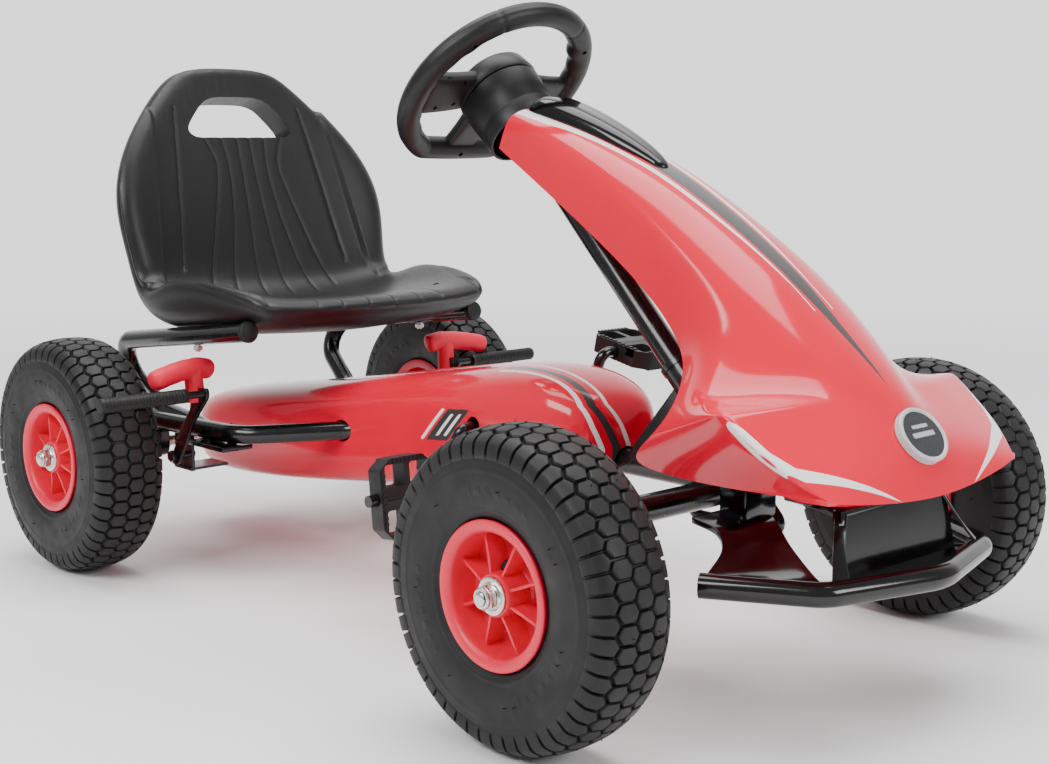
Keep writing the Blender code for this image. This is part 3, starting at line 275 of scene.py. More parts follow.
TYRE_RUBBER = rubber("tyre rubber", (0.0065, 0.0063, 0.0066), 0.52, 0.006, 700.0)
SOFT_RUBBER = rubber("soft black rubber", (0.006, 0.006, 0.006), 0.5, 0.006)
RED_RUBBER = rubber("red soft grip", (0.74, 0.008, 0.040), 0.5, 0.01)
NYLON = rubber("nylon ring", (0.03, 0.05, 0.10), 0.4, 0.01)


def decalled(name, red=(0.80, 0.003, 0.034)):
    """Red gloss plastic with white and dark films, each ending where its distance is nought."""
    n = Nodes(name)
    patch = n.noise(6.0, 3.0)
    tone = n.mix(n.span(patch, 0.3, 0.75, 0.0, 0.5), red, (red[0] * 0.86, red[1] * 0.8, red[2] * 0.8))
    white = n.span(n.attribute("white"), -0.00012, 0.00012, 1.0, 0.0)
    dark = n.span(n.attribute("dark"), -0.00012, 0.00012, 1.0, 0.0)
    tone = n.mix(white, tone, (0.86, 0.84, 0.83))
    tone = n.mix(dark, tone, (0.045, 0.040, 0.040))
    film = n.math("MAXIMUM", white, dark)
    scuff = n.span(n.noise(75.0, 6.0, 0.72, (1.0, 5.0, 1.0)), 0.62, 0.82, 0.0, 0.12)
    r = n.math("ADD", n.span(patch, 0.3, 0.7, 0.10, 0.15),
               n.math("ADD", scuff, n.span(film, 0.0, 1.0, 0.0, 0.12)))
    n.bump([(n.noise(11.0, 2.0), 0.07, 0.0014), (n.noise(380.0, 2.0), 0.10, 0.00012), (film, 0.5, 0.00015)])
    return n.surface(tone, r, coat=0.22, coat_rough=0.05, specular=0.36)


DECALLED_RED = decalled("red gloss plastic")


def badge_face(name):
    """A bright rim round a dark printed disc with two plain bars."""
    n = Nodes(name)
    dark = n.span(n.attribute("dark"), -0.00015, 0.00015, 1.0, 0.0)
    bars = n.math("MULTIPLY", dark, n.span(n.attribute("white"), -0.00015, 0.00015, 1.0, 0.0))
    tone = n.mix(dark, (0.52, 0.53, 0.55), (0.030, 0.031, 0.034))
    tone = n.mix(bars, tone, (0.44, 0.45, 0.47))
    fine = n.noise(300.0, 3.0)
    n.bump([(fine, 0.1, 0.0001)])
    return n.surface(tone, n.span(fine, 0.3, 0.7, 0.20, 0.34), metallic=0.0, coat=0.3)


BADGE = badge_face("badge face")

# ---------------------------------------------------------------- helpers
col = bpy.data.collections.new("looks")
bpy.context.scene.collection.children.link(col)
HOME = Matrix.Translation((-SHIFT, 0.0, 0.0))
FLIP = Matrix.Diagonal((1.0, -1.0, 1.0, 1.0))


def add(name, mesh, mat=None):
    obj = bpy.data.objects.new(name, mesh)
    col.objects.link(obj)
    if mat is not None:
        obj.data.materials.clear()
        obj.data.materials.append(mat)
    return obj


def from_bmesh(name, bm, mat=None):
    mesh = bpy.data.meshes.new(name)
    bm.to_mesh(mesh)
    bm.free()
    return add(name, mesh, mat)


def bake(obj):
    """The evaluated mesh, moved to the world origin."""
    bpy.context.view_layer.update()
    mesh = bpy.data.meshes.new_from_object(obj.evaluated_get(bpy.context.evaluated_depsgraph_get()))
    mesh.transform(obj.matrix_world)
    if obj.matrix_world.determinant() < 0:
        mesh.flip_normals()
    mats = list(obj.data.materials)
    name = obj.name
    bpy.data.objects.remove(obj, do_unlink=True)
    new = add(name, mesh)
    new.data.materials.clear()
    for mat in mats:
        new.data.materials.append(mat)
    new.name = name
    return new


def boolean(base, others, operation):
    for other in others:
        mod = base.modifiers.new(operation.lower(), "BOOLEAN")
        mod.operation = operation
        mod.solver = "EXACT"
        mod.object = other
    new = bake(base)
    for other in others:
        bpy.data.objects.remove(other, do_unlink=True)
    bm = bmesh.new()
    bm.from_mesh(new.data)
    bmesh.ops.remove_doubles(bm, verts=bm.verts, dist=0.00002)
    bmesh.ops.recalc_face_normals(bm, faces=bm.faces)
    bm.to_mesh(new.data)
    bm.free()
    return new


def union(base, *others):
    return boolean(base, others, "UNION")


def cut(base, *others):
    return boolean(base, others, "DIFFERENCE")


def box(name, size, centre, mat=None, turn=None, bevel=0.0, segments=3):
    bm = bmesh.new()
    bmesh.ops.create_cube(bm, size=1.0)
    bmesh.ops.scale(bm, vec=size, verts=bm.verts)
    if bevel:
        bmesh.ops.bevel(bm, geom=bm.edges[:], offset=bevel, segments=segments, affect="EDGES", profile=0.5)
    matrix = Matrix.Translation(centre)
    if turn is not None:
        matrix = matrix @ turn.to_4x4()
    bmesh.ops.transform(bm, matrix=matrix, verts=bm.verts)
    return from_bmesh(name, bm, mat)


def rod(name, start, end, radius, mat=None, sides=32, end_radius=None):
    start, end = Vector(start), Vector(end)
    along = end - start
    bm = bmesh.new()
    bmesh.ops.create_cone(bm, cap_ends=True, segments=sides, radius1=radius,
                          radius2=radius if end_radius is None else end_radius, depth=along.length)
    turn = along.to_track_quat("Z", "Y").to_matrix().to_4x4()
    bmesh.ops.transform(bm, matrix=Matrix.Translation((start + end) / 2) @ turn, verts=bm.verts)
    return from_bmesh(name, bm, mat)


def rounded(points, radius, count=10):
    """The same route with each inner corner turned into an arc."""
    points = [Vector(p) for p in points]
    radii = radius if isinstance(radius, (list, tuple)) else [radius] * len(points)
    route = [points[0]]
    for i in range(1, len(points) - 1):
        before = (points[i - 1] - points[i]).normalized()
        after = (points[i + 1] - points[i]).normalized()
        half = before.angle(after) / 2
        reach = radii[i] / math.tan(half)
        centre = points[i] + (before + after).normalized() * (radii[i] / math.sin(half))
        first = points[i] + before * reach - centre
        last = points[i] + after * reach - centre
        total = first.angle(last)
        for k in range(count + 1):
            share = k / count
            route.append(centre + (first * math.sin((1 - share) * total)
                                   + last * math.sin(share * total)) / math.sin(total))
    route.append(points[-1])
    return route


def tube(name, route, radius, mat=None, resolution=7, cyclic=False, bore=0.0):
    """A round tube along a route. A bore leaves its ends open, with that wall."""
    data = bpy.data.curves.new(name, "CURVE")
    data.dimensions = "3D"
    data.bevel_depth = radius
    data.bevel_resolution = resolution
    data.use_fill_caps = not bore
    spline = data.splines.new("POLY")
    spline.points.add(len(route) - 1)
    for point, place in zip(spline.points, route):
        point.co = (*place, 1.0)
    spline.use_cyclic_u = cyclic
    obj = bpy.data.objects.new(name, data)
    col.objects.link(obj)
    if mat is not None:
        data.materials.append(mat)
    obj = bake(obj)
    if bore:
        bm = bmesh.new()
        bm.from_mesh(obj.data)
        bmesh.ops.recalc_face_normals(bm, faces=bm.faces)
        bm.to_mesh(obj.data)
        bm.free()
        mod = obj.modifiers.new("wall", "SOLIDIFY")
        mod.thickness = bore
        mod.offset = -1.0
        obj = bake(obj)
    return obj


def plate(name, outline, thickness, matrix, mat=None, holes=(), bevel=0.0, hole_sides=32):
    """A flat plate: its outline lies in the matrix's XY plane."""
    data = bpy.data.curves.new(name, "CURVE")
    data.dimensions = "2D"
    data.fill_mode = "BOTH"
    data.extrude = thickness / 2 - bevel
    data.bevel_depth = bevel
    data.bevel_resolution = 2
    data.offset = -bevel
    loops = [outline]
    for x, y, radius in holes:
        loops.append([(x + radius * math.cos(a), y + radius * math.sin(a))
                      for a in [2 * math.pi * k / hole_sides for k in range(hole_sides)]])
    for loop in loops:
        spline = data.splines.new("POLY")
        spline.points.add(len(loop) - 1)
        for point, (x, y) in zip(spline.points, loop):
            point.co = (x, y, 0.0, 1.0)
        spline.use_cyclic_u = True
    obj = bpy.data.objects.new(name, data)
    col.objects.link(obj)
    obj.matrix_world = matrix
    if mat is not None:
        data.materials.append(mat)
    obj = bake(obj)
    bm = bmesh.new()
    bm.from_mesh(obj.data)
    bmesh.ops.remove_doubles(bm, verts=bm.verts, dist=0.00002)
    bmesh.ops.recalc_face_normals(bm, faces=bm.faces)
    bm.to_mesh(obj.data)
    bm.free()
    return obj


def turned(name, profile, steps, mat=None, matrix=None):
    """A turned piece from a closed loop of (radius, height) points."""
    count = len(profile)
    verts = []
    for k in range(steps):
        a = 2 * math.pi * k / steps
        verts += [(r * math.cos(a), r * math.sin(a), z) for r, z in profile]
    faces = []
    for k in range(steps):
        j = (k + 1) % steps
        for i in range(count):
            m = (i + 1) % count
            faces.append((k * count + i, j * count + i, j * count + m, k * count + m))
    mesh = bpy.data.meshes.new(name)
    mesh.from_pydata(verts, [], faces)
    bm = bmesh.new()
    bm.from_mesh(mesh)
    bmesh.ops.remove_doubles(bm, verts=bm.verts, dist=0.00001)
    bmesh.ops.recalc_face_normals(bm, faces=bm.faces)
    if matrix is not None:
        bmesh.ops.transform(bm, matrix=matrix, verts=bm.verts)
    bm.to_mesh(mesh)
    bm.free()
    return add(name, mesh, mat)


def spline_through(points, count):
    """Catmull-Rom samples through points of any dimension, ends included."""
    pts = np.array(points, float)
    full = np.vstack([2 * pts[0] - pts[1], pts, 2 * pts[-1] - pts[-2]])
    out = []
    for i in range(len(pts) - 1):
        a, b, c, d = full[i:i + 4]
        for t in np.arange(count) / count:
            out.append(0.5 * (2 * b + (c - a) * t + (2 * a - 5 * b + 4 * c - d) * t * t
                              + (3 * b - a - 3 * c + d) * t ** 3))
    out.append(pts[-1])
    return np.array(out)


def loft(name, rings, mat=None, levels=0, creases=()):
    """A closed solid through rings of equal length."""
    bm = bmesh.new()
    sharp = bm.edges.layers.float.new("crease_edge")
    loops = [[bm.verts.new(p) for p in ring] for ring in rings]
    count = len(rings[0])
    for a, b in zip(loops[:-1], loops[1:]):
        for k in range(count):
            bm.faces.new((a[k], a[(k + 1) % count], b[(k + 1) % count], b[k]))
    bm.faces.new(list(reversed(loops[0])))
    bm.faces.new(loops[-1])
    for k, weight in creases:
        for a, b in zip(loops[:-1], loops[1:]):
            bm.edges.get((a[k], b[k]))[sharp] = weight
    bmesh.ops.recalc_face_normals(bm, faces=bm.faces)
    obj = from_bmesh(name, bm, mat)
    if levels:
        mod = obj.modifiers.new("soft", "SUBSURF")
        mod.levels = levels
        mod.render_levels = levels
    return bake(obj)


def soften(obj, width=0.0008, angle=35, segments=2):
    """Small rounded edges, as a real casting or cut tube has."""
    mod = obj.modifiers.new("edge", "BEVEL")
    mod.width = width
    mod.segments = segments
    mod.limit_method = "ANGLE"
    mod.angle_limit = math.radians(angle)
    mod.use_clamp_overlap = True
    mod.harden_normals = False
    return obj


def smooth(obj, angle=38):
    obj.data.shade_smooth()
    obj.data.set_sharp_from_angle(angle=math.radians(angle))
    return obj


def copy_of(obj, matrix, name):
    mesh = obj.data.copy()
    mesh.transform(matrix)
    if matrix.determinant() < 0:
        mesh.flip_normals()
    new = add(name, mesh)
    for mod in obj.modifiers:
        if mod.type == "BEVEL":
            soften(new, mod.width, math.degrees(mod.angle_limit), mod.segments)
    return new


def fit(obj, body, slot, *nodes):
    """Settle a finished piece into the row's frame, on its body."""
    obj.name = obj.name.replace(" ", "_")
    obj.data.transform(HOME)
    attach(obj, body)
    if nodes:
        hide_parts(*nodes)
    return obj


def pair(obj, body, slot, *nodes, angle=38, tags=("left", "right")):
    """The piece on the left and its mirror image on the right. "@" in a name stands for the side."""
    smooth(obj, angle)
    other = copy_of(obj, FLIP, obj.name + " right")
    smooth(other, angle)
    for piece, tag in ((obj, tags[0]), (other, tags[1])):
        fit(piece, body.replace("@", tag), slot, *[n.replace("@", tag) for n in nodes])
    return obj, other


UPRIGHT = Matrix.Rotation(math.radians(90), 4, "X")


def along_column(distance, lift=0.0, y=0.0):
    normal = Vector((math.sin(STEER_ANGLE), 0.0, math.cos(STEER_ANGLE)))
    return STEER_FOOT + STEER_DIR * distance + normal * lift + Vector((0.0, y, 0.0))


COLUMN_FRAME = Matrix.Translation(STEER_FOOT) @ Matrix((
    (0.0, math.sin(STEER_ANGLE), STEER_DIR.x, 0.0), (-1.0, 0.0, 0.0, 0.0),
    (0.0, math.cos(STEER_ANGLE), STEER_DIR.z, 0.0), (0.0, 0.0, 0.0, 1.0)))


def column_at(distance):
    return COLUMN_FRAME @ Matrix.Translation((0.0, 0.0, distance))

# ---------------------------------------------------------------- tyres
LUGS = 50                     # blocks round the tread


def tread_field(u, s, pitch):
    """Distance in from the nearest groove of five staggered rows of locked blocks."""
    row_step = 0.0165
    spots = []
    for row in (-2, -1, 0, 1, 2):
        shift = 0.5 * pitch if row % 2 else 0.0
        base = np.floor((u - shift) / pitch) * pitch + shift
        for k in (-1, 0, 1, 2):
            spots.append((base + k * pitch - u, row * row_step - s))
    spots = np.array(spots)
    squared = spots[:, 0] ** 2 + spots[:, 1] ** 2
    nearest = squared.argmin(axis=0)
    own = np.take_along_axis(squared, nearest[None], 0)[0]
    own_u = np.take_along_axis(spots[:, 0], nearest[None], 0)[0]
    own_s = np.take_along_axis(spots[:, 1], nearest[None], 0)[0]
    apart = np.hypot(spots[:, 0] - own_u, spots[:, 1] - own_s)
    edge = np.where(apart > 1e-6, (squared - own) / (2 * np.maximum(apart, 1e-6)), 1.0).min(axis=0)
    return np.minimum(edge - 0.00075, 0.0470 - np.abs(s))


def tyre_mesh():
    half = [(0.0602, 0.0300), (0.0612, 0.0326), (0.0636, 0.0345), (0.0700, 0.0372), (0.0800, 0.0394),
            (0.0930, 0.0402), (0.1060, 0.0392), (0.1150, 0.0362), (0.1210, 0.0316), (0.1246, 0.0256),
            (0.1266, 0.0180), (0.1277, 0.0090), (0.1280, 0.0)]
    curve = spline_through(half, 24)
    step = np.hypot(*np.diff(curve, axis=0).T)
    arc = np.concatenate([[0.0], np.cumsum(step)])
    total = arc[-1]
    spots = np.concatenate([np.linspace(0.0, total - 0.052, 26, endpoint=False),
                            np.linspace(total - 0.052, total, 70)])
    r = np.interp(spots, arc, curve[:, 0])
    z = np.interp(spots, arc, curve[:, 1])
    s = total - spots
    r = np.concatenate([r, r[-2::-1]])
    z = np.concatenate([z, -z[-2::-1]])
    s = np.concatenate([s, -s[-2::-1]])
    across = np.gradient(np.stack([r, z], 1), axis=0)
    across /= np.linalg.norm(across, axis=1)[:, None]
    nr, nz = -across[:, 1], across[:, 0]
    steps = LUGS * 20
    theta = np.arange(steps) / steps * 2 * math.pi
    pitch = 2 * math.pi * 0.130 / LUGS
    uu, ss = np.meshgrid(theta * 0.130, s, indexing="ij")
    field = tread_field(uu, ss, pitch)
    height = np.clip(field / 0.0009, 0.0, 1.0)
    height = height * height * (3 - 2 * height)
    fade = np.clip((0.0475 - np.abs(ss)) / 0.012, 0.0, 1.0)
    tall = 0.0040 * fade + 0.0004
    lift = height * tall * (np.abs(ss) < 0.0475)
    # rings and a broken band of plain raised bars on the sidewall, at both sides
    for at, wide, up in ((0.0560, 0.0007, 0.0006), (0.0885, 0.0009, 0.0008), (0.0935, 0.0006, 0.0005)):
        lift = lift + up * np.exp(-((np.abs(ss) - at) / wide) ** 2)
    bars = ((theta * 46 / (2 * math.pi)) % 1.0 < 0.55) & (((theta * 3 / (2 * math.pi)) % 1.0) < 0.42)
    band = np.exp(-((np.abs(ss) - 0.0720) / 0.0020) ** 4)
    lift = lift + 0.00045 * band * bars[:, None]
    rr = r[None, :] + nr[None, :] * lift
    zz = z[None, :] + nz[None, :] * lift
    co = np.stack([rr * np.cos(theta)[:, None], rr * np.sin(theta)[:, None], zz], -1)
    m = len(s)
    co = co.reshape(-1, 3)
    a = np.arange(steps)[:, None] * m + np.arange(m - 1)[None, :]
    b = ((np.arange(steps)[:, None] + 1) % steps) * m + np.arange(m - 1)[None, :]
    quads = np.stack([a, b, b + 1, a + 1], -1).reshape(-1, 4)
    # the inner wall closes the bead
    a0 = np.arange(steps) * m
    b0 = ((np.arange(steps) + 1) % steps) * m
    quads = np.vstack([quads, np.stack([a0 + m - 1, b0 + m - 1, b0, a0], -1)])
    return co, quads


def moulding_hairs(bm):
    """The short rubber hairs that a mould's vents leave."""
    for k in range(30):
        a = 2 * math.pi * (k * 0.618 % 1.0)
        for r, z, lean in (((0.1130, 0.0368, 0.5), (0.0870, 0.0400, 1.0), (0.1318, 0.0140, 0.0))[k % 3],):
            for side in (1, -1):
                out = Vector((math.cos(a) * (1 - lean), math.sin(a) * (1 - lean), side * lean)).normalized()
                foot = Vector((r * math.cos(a), r * math.sin(a), side * z))
                size = 0.0026 if lean else 0.0007
                turn = out.to_track_quat("Z", "Y").to_matrix().to_4x4()
                bmesh.ops.create_cone(bm, cap_ends=True, segments=6, radius1=0.00055, radius2=0.0004,
                                      depth=size + 0.001,
                                      matrix=Matrix.Translation(foot + out * (size / 2)) @ turn)


co, quads = tyre_mesh()
tyre_data = bpy.data.meshes.new("tyre")
tyre_data.from_pydata(co.tolist(), [], quads.tolist())
bm = bmesh.new()
bm.from_mesh(tyre_data)
moulding_hairs(bm)
bmesh.ops.recalc_face_normals(bm, faces=bm.faces)
bm.to_mesh(tyre_data)
bm.free()

# ---------------------------------------------------------------- rims, hubs and nuts
RIM_LOOP = [
    (0.0598, 0.0322), (0.0606, 0.0338), (0.0610, 0.0352), (0.0608, 0.0366), (0.0600, 0.0374),
    (0.0580, 0.0377),
    (0.0550, 0.0372), (0.0525, 0.0362), (0.0508, 0.0346), (0.0500, 0.0325), (0.0494, 0.0270),
    (0.0484, 0.0190),
    (0.0474, 0.0125), (0.0468, 0.0105), (0.0458, 0.0094), (0.0440, 0.0090), (0.0222, 0.0090),
    (0.0200, 0.0094),
    (0.0188, 0.0104), (0.0183, 0.0130), (0.0180, 0.0300), (0.0177, 0.0326), (0.0168, 0.0338),
    (0.0155, HUB_FACE),
    (0.0064, HUB_FACE), (0.0064, -0.0280), (0.0172, -0.0280), (0.0180, -0.0270), (0.0180, 0.0040),
    (0.0440, 0.0040),
    (0.0468, 0.0030), (0.0478, 0.0010), (0.0490, -0.0200), (0.0500, -0.0355), (0.0560, -0.0374),
    (0.0600, -0.0370),
    (0.0610, -0.0352), (0.0598, -0.0322), (0.0560, -0.0300), (0.0547, -0.0290), (0.0540, 0.0),
    (0.0547, 0.0290),
    (0.0560, 0.0300)]
rim = turned("rim", RIM_LOOP, 96, RIM_PLASTIC)
ribs = []
for k in range(8):
    spin = Matrix.Rotation(2 * math.pi * (k + 0.5) / 8, 4, "Z")
    rib = plate("rib", [(0.0170, 0.0060), (0.0500, 0.0060), (0.0500, 0.0240), (0.0470, 0.0258),
                        (0.0300, 0.0280),
                        (0.0200, 0.0300), (0.0170, 0.0305)], 0.0026, UPRIGHT, None, bevel=0.0005)
    rib.data.transform(spin)
    ribs.append(rib)
rim = union(rim, *ribs)
soften(rim, 0.0006, 50, 2)
rim = bake(rim)
washer = turned("washer", [(0.0153, HUB_FACE + 0.0004), (0.0155, HUB_FACE + 0.0010),
                           (0.0152, HUB_FACE + 0.0018),
                           (0.0140, HUB_FACE + 0.0021), (0.0118, HUB_FACE + 0.0022),
                           (0.0112, HUB_FACE + 0.0034),
                           (0.0104, HUB_FACE + 0.0041), (0.0066, HUB_FACE + 0.0041),
                           (0.0066, HUB_FACE + 0.0004)],
                64, ZINC_FACE)
hexagon = rod("nut", (0, 0, HUB_FACE + 0.0045), (0, 0, HUB_FACE + 0.0100), 0.0107, ZINC, 6)
chamfer = turned("chamfer", [(0.0, HUB_FACE + 0.004), (0.0093, HUB_FACE + 0.0044),
                             (0.0108, HUB_FACE + 0.0058),
                             (0.0108, HUB_FACE + 0.0088), (0.0090, HUB_FACE + 0.0101),
                             (0.0, HUB_FACE + 0.0101)], 48)
hexagon = boolean(hexagon, [chamfer], "INTERSECT")
nut = union(hexagon, turned("collar", [(0.0, HUB_FACE + 0.0090), (0.0088, HUB_FACE + 0.0090),
                                       (0.0088, HUB_FACE + 0.0118), (0.0080, HUB_FACE + 0.0129),
                                       (0.0068, HUB_FACE + 0.0131), (0.0, HUB_FACE + 0.0131)], 48))
nut = cut(nut, rod("bore", (0, 0, HUB_FACE), (0, 0, HUB_FACE + 0.02), 0.0062))
nylon = turned("nylon ring", [(0.0061, HUB_FACE + 0.0122), (0.0068, HUB_FACE + 0.0122),
                              (0.0068, HUB_FACE + 0.0127),
                              (0.0061, HUB_FACE + 0.0127)], 40, NYLON)
# the threaded end that shows in the nut
thread = []
for k in range(15):
    at = HUB_FACE + 0.0030 + 0.0008 * k
    thread += [(0.0060, at), (0.0056, at + 0.0004)]
stub_end = turned("thread", [(0.0, HUB_FACE + 0.0020), (0.0056, HUB_FACE + 0.0020)] + thread
                  + [(0.0056, HUB_FACE + 0.0146), (0.0048, HUB_FACE + 0.0150), (0.0, HUB_FACE + 0.0150)],
                  40, ZINC)
valve_at = Matrix.Rotation(math.radians(22), 4, "Z") @ Matrix.Translation((0.0345, 0.0, 0.0)) \
    @ Matrix.Rotation(math.radians(-34), 4, "Y")
valve = turned("valve", [(0.0, 0.004), (0.0046, 0.004), (0.0046, 0.0090), (0.0036, 0.0125), (0.0031, 0.0150),
                         (0.0031, 0.0195), (0.0037, 0.0198), (0.0039, 0.0215), (0.0037, 0.0228),
                         (0.0038, 0.0240),
                         (0.0036, 0.0262), (0.0026, 0.0275), (0.0, 0.0275)], 28, SOFT_RUBBER, valve_at)

WHEELS = (("front_left", FRONT_X, FRONT_Y, "front_wheel_left", 12),
          ("front_right", FRONT_X, -FRONT_Y, "front_wheel_right", 58),
          ("rear_left", REAR_X, REAR_Y, "drive_axle", 110),
          ("rear_right", REAR_X, -REAR_Y, "free_rear_wheel", 96))
smooth(rim, 32)
smooth(washer, 25)
smooth(nut, 25)
for piece in (nylon, stub_end, valve):
    smooth(piece, 30)
for tag, x, y, body, turn in WHEELS:
    side = 1.0 if y > 0 else -1.0
    matrix = Matrix.Translation((x, y, AXLE_Z)) @ Matrix.Rotation(-side * math.pi / 2, 4, "X")
    tyre = add("tyre " + tag, tyre_data.copy(), TYRE_RUBBER)
    tyre.data.transform(matrix @ Matrix.Rotation(math.radians(3 * turn), 4, "Z"))
    smooth(tyre, 60)
    fit(tyre, body, "tyre_rubber", "tyre_" + tag)
    still = matrix @ Matrix.Rotation(math.radians(turn), 4, "Z")
    fit(copy_of(rim, matrix, "rim " + tag), body, "red_rim_plastic", "rim_" + tag)
    fit(copy_of(washer, still, "washer " + tag), body, "zinc_plated_steel", "hub_washer_" + tag)
    fit(copy_of(nut, still, "nut " + tag), body, "zinc_plated_steel", "axle_nut_" + tag)
    fit(copy_of(nylon, still, "nylon ring " + tag), body, "zinc_plated_steel")
    shaft = {"front_left": "knuckle_left", "front_right": "knuckle_right"}.get(tag, "drive_axle")
    fit(copy_of(stub_end, still, "axle end " + tag), shaft, "zinc_plated_steel")
    fit(copy_of(valve, matrix @ Matrix.Rotation(math.radians({"front_right": 68.0}.get(tag, 113.0)), 4, "Z"),
                "valve " + tag), body, "black_rubber")
for spare in (rim, washer, nut, nylon, stub_end, valve):
    bpy.data.objects.remove(spare, do_unlink=True)

# ---------------------------------------------------------------- seat
LEAN = math.atan(SEAT_RECLINE)
BACK_N = (math.cos(LEAN), math.sin(LEAN))
PAN_N = (0.0, 1.0)


def back_point(z):
    return (SEAT_FOOT.x - SEAT_RECLINE * (z - SEAT_FOOT.z), z)


SEAT = (
    # x, z, normal, half width, thickness, bolster rise, sag
    (-0.1515, 0.2970, (0.9, 0.4), 0.1500, 0.0120, 0.000, 0.000),
    (-0.1600, 0.3115, (0.35, 0.94), 0.1650, 0.0300, 0.004, 0.006),
    (-0.2000, 0.3085, PAN_N, 0.1780, 0.0320, 0.018, 0.010),
    (-0.2600, 0.3005, PAN_N, 0.1880, 0.0300, 0.037, 0.012),
    (-0.3150, 0.2945, PAN_N, 0.1930, 0.0290, 0.041, 0.010),
    (-0.3580, 0.2950, (0.5, 0.87), 0.1920, 0.0340, 0.028, 0.000),
    (-0.3820, 0.3160, (0.88, 0.47), 0.1830, 0.0380, 0.006, 0.000),
    (*back_point(0.3600), BACK_N, 0.1890, 0.0340, 0.010, 0.000),
    (*back_point(0.4150), BACK_N, 0.1950, 0.0340, 0.014, 0.000),
    (*back_point(0.4700), BACK_N, 0.1740, 0.0340, 0.010, 0.000),
    (*back_point(0.5200), BACK_N, 0.1330, 0.0340, 0.002, 0.000),
    (*back_point(0.5580), BACK_N, 0.0950, 0.0320, -0.004, 0.000),
    (*back_point(0.5780), BACK_N, 0.0620, 0.0240, -0.006, 0.000),
)


def seat_ring(x, z, normal, half, thick, bolster, sag):
    n = Vector((normal[0], 0.0, normal[1])).normalized()
    top = Vector((x, 0.0, z))
    ring = []
    for share, lift in ((-1.0, -0.45), (-0.93, 0.0), (-0.72, 0.0), (-0.35, 0.0), (0.0, 0.0), (0.35, 0.0),
                        (0.72, 0.0), (0.93, 0.0), (1.0, -0.45)):
        side = abs(share)
        rise = bolster * (1.0 if side > 0.8 else 0.25 if side > 0.6 else 0.0)
        ring.append(top + Vector((0.0, share * half, 0.0)) + n * (lift * thick + rise))
    for share in (0.90, 0.45, 0.0, -0.45, -0.90):
        ring.append(top + Vector((0.0, share * half, 0.0)) - n * (thick + sag * (1.0 - abs(share))))
    return ring


seat = loft("seat", [seat_ring(*row) for row in SEAT], SEAT_PLASTIC, 5)
slot_low = back_point(0.4890)
slot_frame = (Matrix.Translation((slot_low[0], 0.0, slot_low[1]))
              @ Matrix(((0, -math.sin(LEAN), math.cos(LEAN), 0), (1, 0, 0, 0),
                        (0, math.cos(LEAN), math.sin(LEAN), 0), (0, 0, 0, 1))))
slot_side = [(0.0, 0.0), (0.030, 0.0), (0.058, 0.0), (0.068, 0.0018), (0.0738, 0.0070), (0.0735, 0.0140),
             (0.0660, 0.0245),
             (0.0540, 0.0380), (0.0440, 0.0462), (0.0300, 0.0508), (0.0140, 0.0518), (0.0, 0.0520)]
slot_side = [tuple(q) for q in spline_through(slot_side, 5)]
slot_outline = slot_side + [(-a, b) for a, b in reversed(slot_side[1:-1])]
slot = plate("slot", slot_outline, 0.120, slot_frame)
seat_cuts = [slot]
for side in (1, -1):
    seat_cuts.append(tube("groove", [(-0.140, side * RAIL_Y, 0.2787 + 0.0485 * 0.121),
                                     (-0.460, side * RAIL_Y, 0.2787 - 0.2715 * 0.121)], RAIL_R + 0.0012,
                                     None, 6))
# drain hole near the front right of the pan
seat_cuts.append(rod("drain", (-0.205, 0.120, 0.25), (-0.205, 0.120, 0.36), 0.0042))
seat = cut(seat, *seat_cuts)


def press_grooves(obj):
    """Press the moulded grooves into the seat's front skin and step its side wings forwards."""
    mesh = obj.data
    count = len(mesh.vertices)
    co = np.empty(count * 3)
    mesh.vertices.foreach_get("co", co)
    co = co.reshape(-1, 3)
    normal = np.empty(count * 3)
    mesh.vertices.foreach_get("normal", normal)
    normal = normal.reshape(-1, 3)
    facing = normal[:, 0] * BACK_N[0] + normal[:, 2] * BACK_N[1]
    front = np.clip((facing - 0.25) / 0.3, 0.0, 1.0)
    y = co[:, 1]
    z = co[:, 2]
    press = np.zeros(count)

    def groove(points, wide, deep):
        """A groove through (y, z) points, mirrored to both sides."""
        nonlocal press
        line = spline_through(points, 14)
        near = np.full(count, 1.0)
        for sign in (1, -1):
            for a, b in zip(line[:-1], line[1:]):
                ab = b - a
                t = np.clip(((sign * y - a[0]) * ab[0] + (z - a[1]) * ab[1]) / max(1e-12, float(ab @ ab)),
                            0.0, 1.0)
                near = np.minimum(near, np.hypot(sign * y - a[0] - t * ab[0], z - a[1] - t * ab[1]))
        press = np.maximum(press, deep * np.exp(-(near / wide) ** 2))

    for points, wide in SEAT_GROOVES:
        groove(points, 0.0030, 0.6 * wide)
    press = press * front
    # the side wings stand proud of the panel behind a rounded step
    step = np.abs(y) - np.interp(z, *zip(*[(b, a) for a, b in reversed(SEAT_WING)]))
    wing = np.clip((step + 0.001) / 0.006, 0.0, 1.0)
    wing = (wing * wing * (3 - 2 * wing) * np.clip((z - 0.300) / 0.020, 0.0, 1.0)
            * np.clip((0.527 - z) / 0.010, 0.0, 1.0))
    moved = co - normal * (press - 0.0058 * wing * np.clip((facing - 0.35) / 0.25, 0.0, 1.0))[:, None]
    mesh.vertices.foreach_set("co", moved.reshape(-1))
    mesh.update()


press_grooves(seat)
soften(seat, 0.0022, 50, 3)
smooth(seat, 50)
fit(seat, "frame", "black_satin_plastic", "seat")
